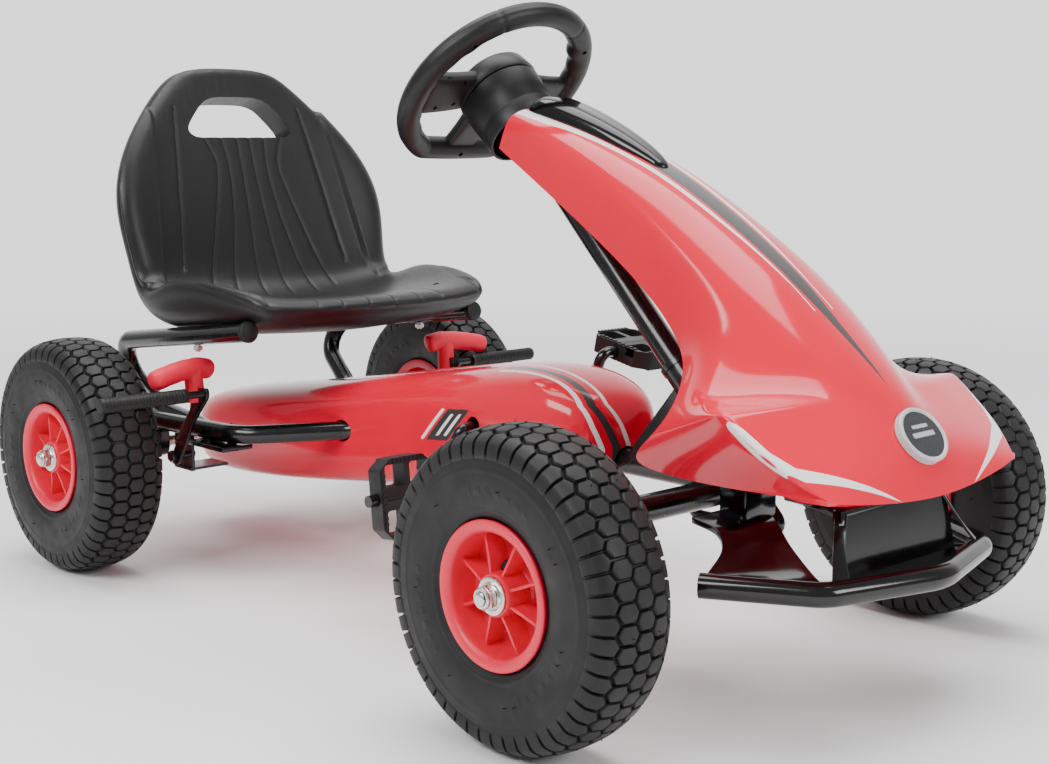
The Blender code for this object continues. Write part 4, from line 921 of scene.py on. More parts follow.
# a bolt and nut under each side of the pan, through the rail
for side in (1, -1):
    rail_z = 0.2787 + (-0.288 + 0.1885) * 0.121
    bolt = rod("seat bolt", (-0.288, side * RAIL_Y, rail_z - 0.0185),
               (-0.288, side * RAIL_Y, rail_z - 0.008), 0.0030, ZINC)
    bolt = union(bolt, rod("nut", (-0.288, side * RAIL_Y, rail_z - 0.0166),
                           (-0.288, side * RAIL_Y, rail_z - 0.0122), 0.0058, None, 6))
    soften(bolt, 0.0004, 30, 2)
    fit(smooth(bolt, 30), "frame", "zinc_plated_steel", "seat_bolt_left" if side > 0 else "seat_bolt_right")

# ---------------------------------------------------------------- seat rails
rail_route = rounded([(-0.1885, RAIL_Y, 0.2787), (-0.4480, RAIL_Y, 0.2473), (-0.4720, 0.150, 0.2120),
                      (-0.4080, 0.139, 0.1640), (-0.3300, 0.139, 0.1560), (-0.2850, 0.141, 0.1470)],
                     [0, 0.026, 0.030, 0.040, 0.040, 0], 10)
rail = tube("seat rail", rail_route, RAIL_R, BLACK_PAINT, 9)
tab = box("tab", (0.072, 0.040, 0.0055), (-0.258, 0.1560, 0.1446), bevel=0.0012)
rail = union(rail, tab, rod("bolt head", (-0.243, 0.1500, 0.1460), (-0.243, 0.1500, 0.1505), 0.0062, None, 6),
             rod("bolt head", (-0.268, 0.1640, 0.1460), (-0.268, 0.1640, 0.1505), 0.0062, None, 6))
soften(rail, 0.0006)
pair(rail, "frame", "black_paint", "seat_rail_@")
cap_dir = Vector((1.0, 0.0, 0.121)).normalized()
start = Vector((-0.1885, RAIL_Y, 0.2787))
cap = turned("rail cap", [(0.0, 0.0002), (0.0116, 0.0002), (0.0119, 0.0012), (0.0119, 0.0042),
                          (0.0108, 0.0064),
                          (0.0080, 0.0076), (0.0, 0.0080)], 40, SOFT_RUBBER,
             Matrix.Translation(start) @ cap_dir.to_track_quat("Z", "Y").to_matrix().to_4x4())
pair(cap, "frame", "black_rubber", "rail_cap_@", angle=30)

# ---------------------------------------------------------------- frame tubes
backbone = rod("backbone", (-0.310, 0.0, BACKBONE_Z), (BEAM_X - TUBE_R - 0.0006, 0.0, BACKBONE_Z), TUBE_R,
               BLACK_PAINT, 48)
shell = rod("shell", (CRANK.x, -0.022, CRANK.z), (CRANK.x, 0.022, CRANK.z), 0.0130, None, 40)
socket = rod("socket", along_column(0.145), along_column(0.030), 0.0156, None, 48)
lip = rod("lip", along_column(0.145), along_column(0.139), 0.0168, None, 48)
gussets = [plate("gusset", [(0.232, 0.180), (0.3415, 0.180), (0.3415, 0.222), (0.300, 0.262)], 0.004,
                 Matrix.Translation((0.0, side * 0.0085, 0.0)) @ UPRIGHT) for side in (1, -1)]
backbone = union(backbone, shell, socket, lip, *gussets)
backbone = cut(backbone, rod("bore", (CRANK.x, -0.03, CRANK.z), (CRANK.x, 0.03, CRANK.z), 0.0064, None, 40),
               rod("bore", along_column(0.200), along_column(-0.010), 0.01315, None, 48))
soften(backbone, 0.0009)
fit(smooth(backbone), "frame", "black_paint", "backbone")

column = turned("column tube", [(0.0128, 0.400), (0.0128, 0.075), (0.0105, 0.075), (0.0105, 0.400),
                                (0.0110, 0.4008), (0.0124, 0.4008)],
                48, BLACK_PAINT, column_at(0.0))
fit(smooth(column), "frame", "black_paint", "column_tube")

beam = rod("beam", (BEAM_X, -KINGPIN_Y + 0.002, BEAM_Z), (BEAM_X, KINGPIN_Y - 0.002, BEAM_Z), TUBE_R,
           BLACK_PAINT, 48)
sleeves, bores = [], []
for side in (1, -1):
    sleeves.append(turned("sleeve", [(0.0, 0.1495), (0.0106, 0.1495), (0.0112, 0.1503), (0.0112, 0.1872),
                                     (0.0106, 0.1880), (0.0, 0.1880)],
                          40, None, Matrix.Translation((FRONT_X, side * KINGPIN_Y, 0.0))))
    bores.append(rod("bore", (FRONT_X, side * KINGPIN_Y, 0.12), (FRONT_X, side * KINGPIN_Y, 0.20), 0.0066))
beam = cut(union(beam, *sleeves), *bores)
soften(beam, 0.0010)
fit(smooth(beam), "frame", "black_paint", "front_beam")

arm_route = rounded([(-0.045, 0.0138, ARM_Z + 0.010), (-0.150, 0.052, ARM_Z + 0.003), (-0.222, 0.152, ARM_Z),
                     (-0.398, 0.171, ARM_Z)], [0, 0.04, 0.05, 0], 12)
arm = tube("rear arm", arm_route, ARM_R, BLACK_PAINT, 9)
arm = union(arm, box("web", (0.036, 0.004, 0.046), (-0.322, 0.1635, 0.1305)),
            box("shelf", (0.036, 0.050, 0.003), (-0.322, 0.1420, 0.1100)),
            rod("pivot", (BRAKE_PIVOT[0], 0.160, BRAKE_PIVOT[1]), (BRAKE_PIVOT[0], 0.190, BRAKE_PIVOT[1]),
                0.0038),
            rod("head", (BRAKE_PIVOT[0], 0.1870, BRAKE_PIVOT[1]), (BRAKE_PIVOT[0], 0.1915, BRAKE_PIVOT[1]),
                0.0068, None, 6))
arm = cut(arm, rod("cutter", (-0.5, 0.0, BACKBONE_Z), (0.2, 0.0, BACKBONE_Z), TUBE_R + 0.0003, None, 48))
soften(arm, 0.0008)
pair(arm, "frame", "black_paint", "rear_arm_@")

bearing = plate("bearing", [(-0.017, 0.0159), (-0.017, -0.004), (-0.0150, -0.0095), (-0.010, -0.0140),
                            (-0.004, -0.0160),
                            (0.004, -0.0160), (0.010, -0.0140), (0.0150, -0.0095), (0.017, -0.004),
                            (0.017, 0.0159)], 0.016,
                Matrix.Translation((REAR_X, 0.169, AXLE_Z)) @ UPRIGHT, BLACK_PAINT, [(0.0, 0.0, 0.0066)])
soften(bearing, 0.0010)
pair(bearing, "frame", "black_paint", "bearing_@")
axle = rod("rear axle", (REAR_X, -0.3045, AXLE_Z), (REAR_X, 0.3045, AXLE_Z), 0.0060, ZINC, 40)
fit(smooth(axle), "drive_axle", "zinc_plated_steel", "rear_axle")

# ---------------------------------------------------------------- steering linkage
kingpin = rod("knuckle", (FRONT_X, KINGPIN_Y, 0.125), (FRONT_X, KINGPIN_Y, 0.1955), 0.0060)
stub_end = FRONT_Y + HUB_FACE + 0.0148
knuckle = union(
    kingpin, box("block", (0.024, 0.022, 0.0225), (FRONT_X, KINGPIN_Y, 0.13675), bevel=0.003),
    rod("stub", (FRONT_X, KINGPIN_Y + 0.004, AXLE_Z), (FRONT_X, stub_end - 0.0012, AXLE_Z), 0.0060),
    rod("stub tip", (FRONT_X, stub_end - 0.0014, AXLE_Z), (FRONT_X, stub_end, AXLE_Z), 0.0060, None, 32,
        0.0048),
    plate("arm", [(0.008, -0.009), (0.008, 0.009), (-0.060, 0.0085), (-0.0675, 0.0068), (-0.0705, 0.003),
                  (-0.0705, -0.003),
                  (-0.0675, -0.0068), (-0.060, -0.0085)], 0.006,
                  Matrix.Translation((FRONT_X, KINGPIN_Y, 0.1415))),
    rod("pin", (TIE_X, KINGPIN_Y, 0.142), (TIE_X, KINGPIN_Y, 0.1605), 0.0038),
    rod("cap", (FRONT_X, KINGPIN_Y, 0.1889), (FRONT_X, KINGPIN_Y, 0.1935), 0.0100, None, 6))
soften(knuckle, 0.0008)
knuckle.data.materials.clear()
knuckle.data.materials.append(BLACK_PAINT)
pair(knuckle, "knuckle_@", "black_paint", "knuckle_@")

for side, level in ((1, TIE_Z - 0.0021), (-1, TIE_Z + 0.0021)):
    tag = "left" if side > 0 else "right"
    circle = [2 * math.pi * k / 40 for k in range(40)]
    tie = union(
        rod("tie rod", (TIE_X, side * 0.020, TIE_Z), (TIE_X, side * (KINGPIN_Y - 0.006), TIE_Z), 0.0034,
            BLACK_PAINT),
        plate("eye", [(0.0085 * math.cos(a), 0.0085 * math.sin(a)) for a in circle], 0.006,
              Matrix.Translation((TIE_X, side * KINGPIN_Y, TIE_Z))),
        plate("tab", [(0.0122 * math.cos(a), 0.0122 * math.sin(a)) for a in circle], 0.0034,
              Matrix.Translation((TIE_X, 0.0, level))),
        box("neck", (0.010, 0.016, 0.0034), (TIE_X, side * 0.0175, level), bevel=0.0006))
    tie = cut(tie, rod("hole", (TIE_X, side * KINGPIN_Y, 0.14), (TIE_X, side * KINGPIN_Y, 0.17), 0.0042),
              rod("hole", (TIE_X, 0.0, 0.14), (TIE_X, 0.0, 0.17), 0.0092))
    soften(tie, 0.0005)
    fit(smooth(tie), "tie_" + tag, "black_paint", "tie_rod_" + tag)

bend_x = 0.4235
rod_route = rounded([along_column(WHEEL_ALONG - 0.012),
                     (bend_x, 0.0, STEER_FOOT.z - (bend_x - STEER_FOOT.x) * math.tan(STEER_ANGLE)),
                     (TIE_X, 0.0, 0.1365), (TIE_X, 0.0, 0.1600)], [0, 0.0085, 0.0080, 0], 12)
fit(smooth(soften(tube("steering rod", rod_route, 0.0055, BLACK_PAINT, 8), 0.0006)), "steering",
    "black_paint", "steering_rod")

# ---------------------------------------------------------------- steering wheel
GRIP_WHEEL_R, WHEEL_FLAT, GRIP_SECTION = 0.0995, 0.088, 0.0128


def rim_of_wheel():
    """The D-shaped grip: thicker thumb rests at ten and two, finger waves inside, a moulded seam outside."""
    around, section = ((288, 40))
    centres = []
    for k in range(around):
        a = 2 * math.pi * k / around
        x, y = GRIP_WHEEL_R * math.cos(a), GRIP_WHEEL_R * math.sin(a)
        if y < -WHEEL_FLAT:
            y = -WHEEL_FLAT - 0.12 * (-WHEEL_FLAT - y)
        centres.append((x, y))
    verts = []
    for k in range(around):
        a = 2 * math.pi * k / around
        x, y = centres[k]
        px, py = centres[k - 1]
        qx, qy = centres[(k + 1) % around]
        tangent = Vector((qx - px, qy - py, 0.0)).normalized()
        out = Vector((tangent.y, -tangent.x, 0.0))
        side = abs(math.cos(a))
        held = 1.0 / (1.0 + math.exp(-(side - 0.62) * 26.0)) if y > -0.072 else 0.0
        wave = 0.5 + 0.5 * math.cos(a * 24.0)
        thumb = math.exp(-((side - 0.80) / 0.10) ** 2) if y > 0.0 else 0.0
        for j in range(section):
            b = 2 * math.pi * j / section
            cb, sb = math.cos(b), math.sin(b)
            radius = GRIP_SECTION * (0.955 + 0.03 * held)
            inner = max(0.0, -cb)
            radius -= 0.0016 * held * wave * inner ** 2
            radius += 0.0028 * thumb * inner ** 3
            radius -= 0.0006 * math.exp(-((cb - 1.0) / 0.0022) ** 2)
            # a shallow groove bounds the soft part of each hand grip
            for edge in (0.50, 0.985):
                if y > -0.06:
                    radius -= 0.0007 * math.exp(-((side - edge) / 0.012) ** 2) * (1.0 if edge < 0.9 else 0.0)
            verts.append((x + out.x * cb * radius, y + out.y * cb * radius, sb * radius * 0.97))
    faces = []
    for k in range(around):
        m = (k + 1) % around
        for j in range(section):
            i = (j + 1) % section
            faces.append((k * section + j, m * section + j, m * section + i, k * section + i))
    mesh = bpy.data.meshes.new("steering wheel")
    mesh.from_pydata(verts, [], faces)
    bm = bmesh.new()
    bm.from_mesh(mesh)
    bmesh.ops.recalc_face_normals(bm, faces=bm.faces)
    bm.to_mesh(mesh)
    bm.free()
    return add("steering wheel", mesh, WHEEL_PLASTIC)


def spoke(turn, reach, half_in, half_out, thick):
    """A rounded spoke from the hub to the grip, hollowed on its back face."""
    spin = Matrix.Rotation(turn, 3, "Z")
    rings = []
    for share in (0.0, 0.15, 0.4, 0.65, 0.85, 1.0):
        x = 0.024 + (reach - 0.024) * share
        half = half_in + (half_out - half_in) * share ** 1.5
        lift = 0.0005 - 0.0020 * math.sin(math.pi * share)
        ring = []
        for u, w in ((-1.0, 0.0), (-0.97, 0.62), (-0.80, 0.97), (0.0, 1.0), (0.80, 0.97), (0.97, 0.62),
                     (1.0, 0.0),
                     (0.97, -0.62), (0.80, -0.97), (0.0, -0.86), (-0.80, -0.97), (-0.97, -0.62)):
            ring.append(spin @ Vector((x, u * half, w * thick / 2 + lift)))
        rings.append(ring)
    return loft("spoke", rings, None, 2)


hub = turned("hub", [(0.0, -0.0118), (0.0395, -0.0118), (0.0425, -0.0105), (0.0436, -0.0060),
                     (0.0400, 0.0095), (0.0380, 0.0114),
                     (0.0345, 0.0120), (0.0335, 0.0108), (0.0150, 0.0108), (0.0140, 0.0114), (0.0, 0.0114)],
                     72)
wheel = union(rim_of_wheel(), hub, spoke(math.radians(-7), 0.093, 0.0225, 0.0265, 0.0165),
              spoke(math.radians(187), 0.093, 0.0225, 0.0265, 0.0165),
              spoke(math.radians(-90), 0.086, 0.0175, 0.0200, 0.0145))
wheel_cuts = [rod("hole", (0, 0, -0.02), (0, 0, -0.006), 0.0060)]
for a in (-18, 12, 168, 198):
    for reach in (0.055, 0.076):
        x, y = reach * math.cos(math.radians(a)), reach * math.sin(math.radians(a))
        wheel_cuts.append(rod("screw hole", (x, y, -0.020), (x, y, -0.0045), 0.0024))
for a in (40, 140, 270):
    x, y = 0.0985 * math.cos(math.radians(a)), (0.0985 if a != 270 else 0.0880) * math.sin(math.radians(a))
    wheel_cuts.append(rod("screw hole", (x, y, -0.020), (x, y, -0.0085), 0.0026))
wheel = cut(wheel, *wheel_cuts)
soften(wheel, 0.0006, 45)
wheel.data.transform(column_at(WHEEL_ALONG))
wheel.data.materials.clear()
wheel.data.materials.append(WHEEL_PLASTIC)
fit(smooth(wheel, 45), "steering", "black_satin_plastic", "steering_wheel")

w = WHEEL_ALONG
boss = turned("steering boss", [
    (0.0425, w - 0.0125), (0.0432, w - 0.0135), (0.0425, w - 0.030), (0.0412, w - 0.0475),
    (0.0408, w - 0.0485), (0.0408, w - 0.0500),
    (0.0411, w - 0.0510), (0.0401, w - 0.0655), (0.0396, w - 0.066), (0.0379, w - 0.066),
    (0.0375, w - 0.0655), (0.0400, w - 0.030),
    (0.0360, w - 0.022), (0.0059, w - 0.022), (0.0059, w - 0.0125)], 96, WHEEL_PLASTIC, column_at(0.0))
fit(smooth(boss, 30), "steering", "black_satin_plastic", "steering_boss")

# ---------------------------------------------------------------- drive
RING_TEETH, SPROCKET_TEETH = 21, 14


def toothed(name, teeth, centre, windows):
    """A toothed wheel on the chain's plane, with hollow-flanked teeth."""
    pitch_r = CHAIN_PITCH / (2 * math.sin(math.pi / teeth))
    step = 2 * math.pi / teeth
    outline = []
    for k in range(teeth):
        a = 2 * math.pi * k / teeth
        for share, rise in ((-0.30, -0.0020), (-0.20, -0.0032), (0.0, -0.0038), (0.20, -0.0032),
                            (0.30, -0.0020), (0.42, 0.0012),
                            (0.47, 0.0024), (0.53, 0.0024), (0.58, 0.0012)):
            r = pitch_r + rise
            outline.append((r * math.cos(a + share * step), r * math.sin(a + share * step)))
    holes = [(0.0, 0.0, 0.0064)]
    for k in range(windows):
        a = 2 * math.pi * (k + 0.5) / windows
        holes.append((0.6 * pitch_r * math.cos(a), 0.6 * pitch_r * math.sin(a), 0.0048))
    return plate(name, outline, 0.0030, Matrix.Translation((centre[0], CHAIN_Y, centre[1])) @ UPRIGHT,
                 CHAIN_STEEL, holes, 0.0004)


fit(smooth(toothed("chainring", RING_TEETH, (CRANK.x, CRANK.z), 6)), "crankset", "chain_steel", "chainring")
fit(smooth(toothed("sprocket", SPROCKET_TEETH, (REAR_X, AXLE_Z), 0)), "drive_axle", "chain_steel",
    "rear_sprocket")


def chain_route():
    """Evenly spaced pin places round both toothed wheels."""
    ring_r = CHAIN_PITCH / (2 * math.sin(math.pi / RING_TEETH)) + 0.0052
    rear_r = CHAIN_PITCH / (2 * math.sin(math.pi / SPROCKET_TEETH)) + 0.0052
    dx, dz = CRANK.x - REAR_X, CRANK.z - AXLE_Z
    slope = math.atan2(dz, dx)
    lean = math.asin((ring_r - rear_r) / math.hypot(dx, dz))
    points = []
    for k in range(61):
        a = slope - math.pi / 2 - lean + k / 60 * (math.pi + 2 * lean)
        points.append((CRANK.x + ring_r * math.cos(a), CRANK.z + ring_r * math.sin(a)))
    for k in range(61):
        a = slope + math.pi / 2 + lean + k / 60 * (math.pi - 2 * lean)
        points.append((REAR_X + rear_r * math.cos(a), AXLE_Z + rear_r * math.sin(a)))
    points = np.array(points + [points[0]])
    steps = np.hypot(*np.diff(points, axis=0).T)
    run = np.concatenate([[0.0], np.cumsum(steps)])
    count = 2 * round(run[-1] / CHAIN_PITCH / 2)
    at = np.arange(count) * run[-1] / count
    return np.stack([np.interp(at, run, points[:, 0]), np.interp(at, run, points[:, 1])], axis=1)


def chain_mesh():
    """Roller chain: pins, rollers, and pairs of waisted side plates, inner and outer by turns."""
    bm = bmesh.new()
    pins = chain_route()
    count = len(pins)
    for i in range(count):
        a, b = Vector((pins[i][0], 0.0, pins[i][1])), Vector((pins[(i + 1) % count][0], 0.0,
                                                              pins[(i + 1) % count][1]))
        along = (b - a).normalized()
        up = Vector((-along.z, 0.0, along.x))
        span = (b - a).length
        inner = i % 2 == 0
        offset = 0.00205 if inner else 0.00300
        outline = []
        for k in range(9):
            t = math.pi / 2 + math.pi * k / 8
            outline.append((0.0013 * math.cos(t), 0.0013 * math.sin(t)))
        outline += [(span / 2, -0.00095)]
        for k in range(9):
            t = -math.pi / 2 + math.pi * k / 8
            outline.append((span + 0.0013 * math.cos(t), 0.0013 * math.sin(t)))
        outline += [(span / 2, 0.00095)]
        for side in (1, -1):
            base = CHAIN_Y + side * offset
            loops = []
            for y in (base - 0.0004, base + 0.0004):
                loops.append([bm.verts.new(a + along * u + up * v + Vector((0.0, y, 0.0))) for u,
                              v in outline])
            bm.faces.new(loops[0])
            bm.faces.new(list(reversed(loops[1])))
            for k in range(len(outline)):
                m = (k + 1) % len(outline)
                bm.faces.new((loops[0][k], loops[0][m], loops[1][m], loops[1][k]))
        for radius, half in ((0.00072, 0.0034), (0.0013, 0.0016)):
            made = bmesh.ops.create_cone(bm, cap_ends=True, segments=14, radius1=radius, radius2=radius,
                                         depth=2 * half)
            spin = Matrix.Translation(a + Vector((0.0, CHAIN_Y, 0.0))) @ Matrix.Rotation(math.radians(90),
                4, "X")
            bmesh.ops.transform(bm, matrix=spin, verts=made["verts"])
    bmesh.ops.recalc_face_normals(bm, faces=bm.faces)
    return from_bmesh("chain", bm, CHAIN_STEEL)


fit(smooth(chain_mesh()), "frame", "chain_steel", "chain")

arm_step = Vector((math.cos(CRANK_REST), 0.0, math.sin(CRANK_REST))) * CRANK_ARM
left_pin, right_pin = CRANK + arm_step, CRANK - arm_step
crank_route = rounded([
    right_pin + Vector((0, -0.186, 0)), right_pin + Vector((0, -CRANK_ARM_Y, 0)),
    CRANK + Vector((0, -CRANK_ARM_Y, 0)),
    CRANK + Vector((0, CRANK_ARM_Y, 0)), left_pin + Vector((0, CRANK_ARM_Y, 0)),
    left_pin + Vector((0, 0.186, 0))],
    [0, 0.011, 0.011, 0.011, 0.011, 0], 12)
fit(smooth(soften(tube("crank", crank_route, 0.0060, BLACK_PAINT, 8), 0.0008)), "crankset", "black_paint",
    "crank")


def pedal(centre, side, tilt):
    """A moulded block pedal: pin barrel, ribbed treads front and back, slots between."""
    outline = rounded([(0.0, -0.034, 0.0), (-0.030, -0.034, 0.0), (-0.040, -0.020, 0.0),
                       (-0.040, 0.020, 0.0), (-0.030, 0.034, 0.0),
                       (0.030, 0.034, 0.0), (0.042, 0.022, 0.0), (0.042, -0.022, 0.0), (0.030, -0.034, 0.0),
                       (0.001, -0.034, 0.0)],
                      [0, 0.006, 0.006, 0.006, 0.006, 0.006, 0.006, 0.006, 0.006, 0], 4)
    matrix = Matrix.Translation((centre.x, side * PEDAL_Y, centre.z)) @ Matrix.Rotation(tilt, 4, "Y")
    body = plate("pedal", [(p.x, p.y) for p in outline], 0.0186, Matrix.Identity(4), PEDAL_PLASTIC)
    teeth = []
    for face in (1, -1):
        for x in (-0.0372, 0.0392):
            for k in range(9):
                teeth.append(box("tread", (0.0042, 0.0034, 0.0016), (x, -0.0208 + 0.0052 * k, face * 0.0096)))
        for y in (-0.0300, 0.0300):
            for k in range(9):
                teeth.append(box("tread", (0.0034, 0.0042, 0.0016), (-0.0238 + 0.0060 * k, y, face * 0.0096)))
    body = union(body, rod("barrel", (0, -0.0335, 0), (0, 0.0335, 0), 0.0098), *teeth)
    holes = [rod("hole", (0, -0.05, 0), (0, 0.05, 0), 0.0064)]
    for x0, x1 in ((-0.034, -0.0115), (0.0115, 0.036)):
        for y in (-0.0155, 0.0155):
            holes.append(box("hole", (x1 - x0, 0.0245, 0.030), ((x0 + x1) / 2, y, 0.0), None, None, 0.003, 2))
    body = cut(body, *holes)
    soften(body, 0.0005, 40)
    body.data.transform(matrix)
    return smooth(body)


fit(pedal(left_pin, 1, math.radians(12)), "pedal_left", "black_rubber", "pedal_left")
fit(pedal(right_pin, -1, math.radians(84)), "pedal_right", "black_rubber", "pedal_right")

# ---------------------------------------------------------------- films on the red plastic
def film(obj, name, distances):
    """Store a signed distance in metres, negative inside the film, on every vertex."""
    layer = obj.data.attributes.new(name, "FLOAT", "POINT")
    layer.data.foreach_set("value", np.asarray(distances, np.float32))


def places(obj):
    co = np.empty(len(obj.data.vertices) * 3)
    obj.data.vertices.foreach_get("co", co)
    return co.reshape(-1, 3)


def polygon_distance(u, v, points):
    """Signed distance from (u, v) to a closed polygon, negative inside."""
    best = np.full(len(u), 1e9)
    inside = np.zeros(len(u), bool)
    count = len(points)
    for k in range(count):
        (ax, ay), (bx, by) = points[k], points[(k + 1) % count]
        dx, dy = bx - ax, by - ay
        t = np.clip(((u - ax) * dx + (v - ay) * dy) / (dx * dx + dy * dy), 0.0, 1.0)
        best = np.minimum(best, np.hypot(u - ax - t * dx, v - ay - t * dy))
        if ay != by:
            crosses = ((ay > v) != (by > v)) & (u < (bx - ax) * (v - ay) / (by - ay) + ax)
            inside ^= crosses
    return np.where(inside, -best, best)


# ---------------------------------------------------------------- chain cover
COVER = (
    # x, bottom, top, half width
    (-0.4900, 0.0900, 0.1520, 0.0340), (-0.4740, 0.0740, 0.1680, 0.0560), (-0.4350, 0.0670, 0.1800, 0.0680),
    (-0.3400, 0.0710, 0.1960, 0.0710), (-0.2200, 0.0840, 0.2120, 0.0660), (-0.1000, 0.1000, 0.2330, 0.0640),
    (0.0000, 0.1150, 0.2500, 0.0700), (0.0900, 0.1290, 0.2640, 0.0770), (0.1550, 0.1400, 0.2660, 0.0790),
    (0.2040, 0.1520, 0.2500, 0.0690), (0.2260, 0.1600, 0.2260, 0.0460),
)


def cover_solid(name, inset, mat=None, levels=4):
    rings = []
    for i, (x, low, high, half) in enumerate(COVER):
        x += inset * (1.0 if i == 0 else -1.0 if i == len(COVER) - 1 else 0.0)
        mid, tall, wide = (low + high) / 2, (high - low) / 2 - inset, half - inset
        ring = []
        for k in range(8):
            a = 2 * math.pi * (k + 0.5) / 8
            c, s = math.cos(a), math.sin(a)
            ring.append((x, wide * math.copysign(abs(c) ** 0.54, c),
                         mid + tall * math.copysign(abs(s) ** 0.54, s)))
        rings.append(ring)
    return loft(name, rings, mat, levels)


cover = cover_solid("chain cover", 0.0, DECALLED_RED, 5)
cover_cuts = [cover_solid("hollow", 0.0028),
              rod("hole", (0.060, 0.0, BACKBONE_Z), (0.300, 0.0, BACKBONE_Z), 0.0150, None, 48),
              rod("hole", (CRANK.x, -0.100, CRANK.z), (CRANK.x, 0.100, CRANK.z), 0.0105, None, 48),
              rod("hole", (REAR_X, -0.100, AXLE_Z), (REAR_X, 0.100, AXLE_Z), 0.0100, None, 48)]
for side in (1, -1):
    cover_cuts.append(tube("hole", [Vector((p.x, side * p.y, p.z)) for p in arm_route], ARM_R + 0.0018,
                           None, 8))
cover = cut(cover, *cover_cuts)
x, y, z = places(cover).T
# three films run forward over the dome's near shoulder and down its nose
reach = 0.088 - x
heights = (0.190, 0.212, 0.232, 0.250)
bands_white = np.minimum(np.abs(y - np.interp(z, heights, (-0.0318, -0.0420, -0.0470, -0.0425)))
                         - np.interp(z, (0.19, 0.25), (0.0032, 0.0019)),
                         np.abs(y - np.interp(z, heights, (0.0030, -0.0070, -0.0195, -0.0190)))
                         - np.interp(z, (0.19, 0.25), (0.0032, 0.0019)))
bands_dark = np.abs(y - np.interp(z, heights, (-0.0135, -0.0255, -0.0365, -0.0320))) - np.interp(z,
    (0.19, 0.25), (0.0055, 0.0038))
bands_white, bands_dark = np.maximum(bands_white, reach), np.maximum(bands_dark, reach)
# a slanted mark on each side: one white bar, and a dark field with two plain bars
side_face = np.abs(y) - 0.040
slant = x - 1.00 * (z - 0.1900)
tall = np.abs(z - 0.1905 - 0.10 * x) - 0.0168
label_white = np.maximum.reduce([np.abs(slant - 0.0075) - 0.0028, tall, -side_face])
label_dark = np.maximum.reduce([np.abs(slant - 0.0310) - 0.0165, tall, -side_face])
for place in (0.0270, 0.0390):
    digit = np.maximum.reduce([np.abs(slant - place) - 0.0026, tall + 0.0050, -side_face])
    label_white = np.minimum(label_white, digit)
    label_dark = np.maximum(label_dark, -digit)
film(cover, "white", np.minimum(bands_white, label_white))
film(cover, "dark", np.minimum(bands_dark, label_dark))
soften(cover, 0.0007, 50)
fit(smooth(cover, 40), "frame", "red_plastic", "chain_cover")

# ---------------------------------------------------------------- brakes
px, pz = BRAKE_PIVOT
bx, bz = BRAKE_BAR
lever_outline = [
    (px - 0.009, pz - 0.006), (px - 0.0052, pz - 0.0093), (px, pz - 0.0105), (px + 0.0052, pz - 0.0093),
    (px + 0.009, pz - 0.006),
    (px + 0.0230, pz + 0.0150), (px + 0.0400, pz + 0.0420), (bx + 0.0040, bz - 0.0068),
    (bx + 0.0062, bz - 0.003), (bx + 0.0062, bz + 0.003),
    (bx + 0.0040, bz + 0.006), (bx - 0.0060, bz + 0.006), (-0.2560, 0.2060), (-0.2570, 0.2120),
    (-0.2670, 0.2120), (-0.2720, 0.1860),
    (px + 0.0160, pz + 0.0360)]
lever = plate("brake lever", lever_outline, 0.004, Matrix.Translation((0.0, BRAKE_Y, 0.0)) @ UPRIGHT,
              BLACK_PAINT,
              [(px, pz, 0.0042)], 0.0006)
lever = union(lever, rod("bar", (bx, BRAKE_Y - 0.001, bz), (bx, 0.3095, bz), 0.0040))
pair(lever, "brake_@", "black_paint", "brake_lever_@")

profile = [(0.0, 0.1055), (0.0060, 0.1055), (0.0074, 0.1046), (0.0080, 0.1030)]
for k in range(24):
    base = 0.1000 - 0.0040 * k
    profile += [(0.0080, base), (0.0074, base - 0.0006), (0.0074, base - 0.0014), (0.0080, base - 0.0020)]
profile += [(0.0080, 0.0016), (0.0076, 0.0), (0.0044, 0.0), (0.0044, 0.1020), (0.0, 0.1020)]
sleeve = turned("brake sleeve", profile, 40, SOFT_RUBBER,
                Matrix.Translation((bx, 0.2080, bz)) @ Matrix.Rotation(math.radians(-90), 4, "X"))
pair(sleeve, "brake_@", "black_rubber", "brake_sleeve_@", angle=30)

grip_points = [(-0.2716, 0.1590, 0.2290), (-0.2670, 0.1760, 0.2335), (-0.2620, 0.2000, 0.2325),
               (-0.2580, 0.2220, 0.2290),
               (-0.2550, 0.2430, 0.2240)]
path = spline_through(grip_points, 10)
rings = []
last = len(path) - 1
for i, p in enumerate(path):
    before, after = path[max(0, i - 1)], path[min(last, i + 1)]
    along = Vector(after - before).normalized()
    side_way = along.cross(Vector((0.0, 0.0, 1.0))).normalized()
    up = side_way.cross(along)
    share = i / last
    end = min(1.0, math.sqrt(max(0.0, 1.0 - (1.0 - min(share, 1.0 - share) / 0.07) ** 2)) if min(share,
        1.0 - share) < 0.07 else 1.0)
    radius = 0.0117 * max(0.35, end) * (1.0 - 0.035 * (0.5 + 0.5 * math.cos(share * 34.0)))
    rings.append([Vector(p) + side_way * radius * math.cos(2 * math.pi * k / 28) + up * radius
                  * math.sin(2 * math.pi * k / 28)
                  for k in range(28)])
grip = loft("brake grip", rings, RED_RUBBER)
grip = union(grip, rod("stem", (-0.2616, 0.1837, 0.1960), (-0.2640, 0.1850, 0.2310), 0.0105, None, 40))
grip = cut(grip, box("slot", (0.0300, 0.0048, 0.0300), (-0.2620, BRAKE_Y, 0.1976)))
soften(grip, 0.0012, 40, 3)
pair(grip, "brake_@", "red_soft_grip", "brake_grip_@", angle=45)

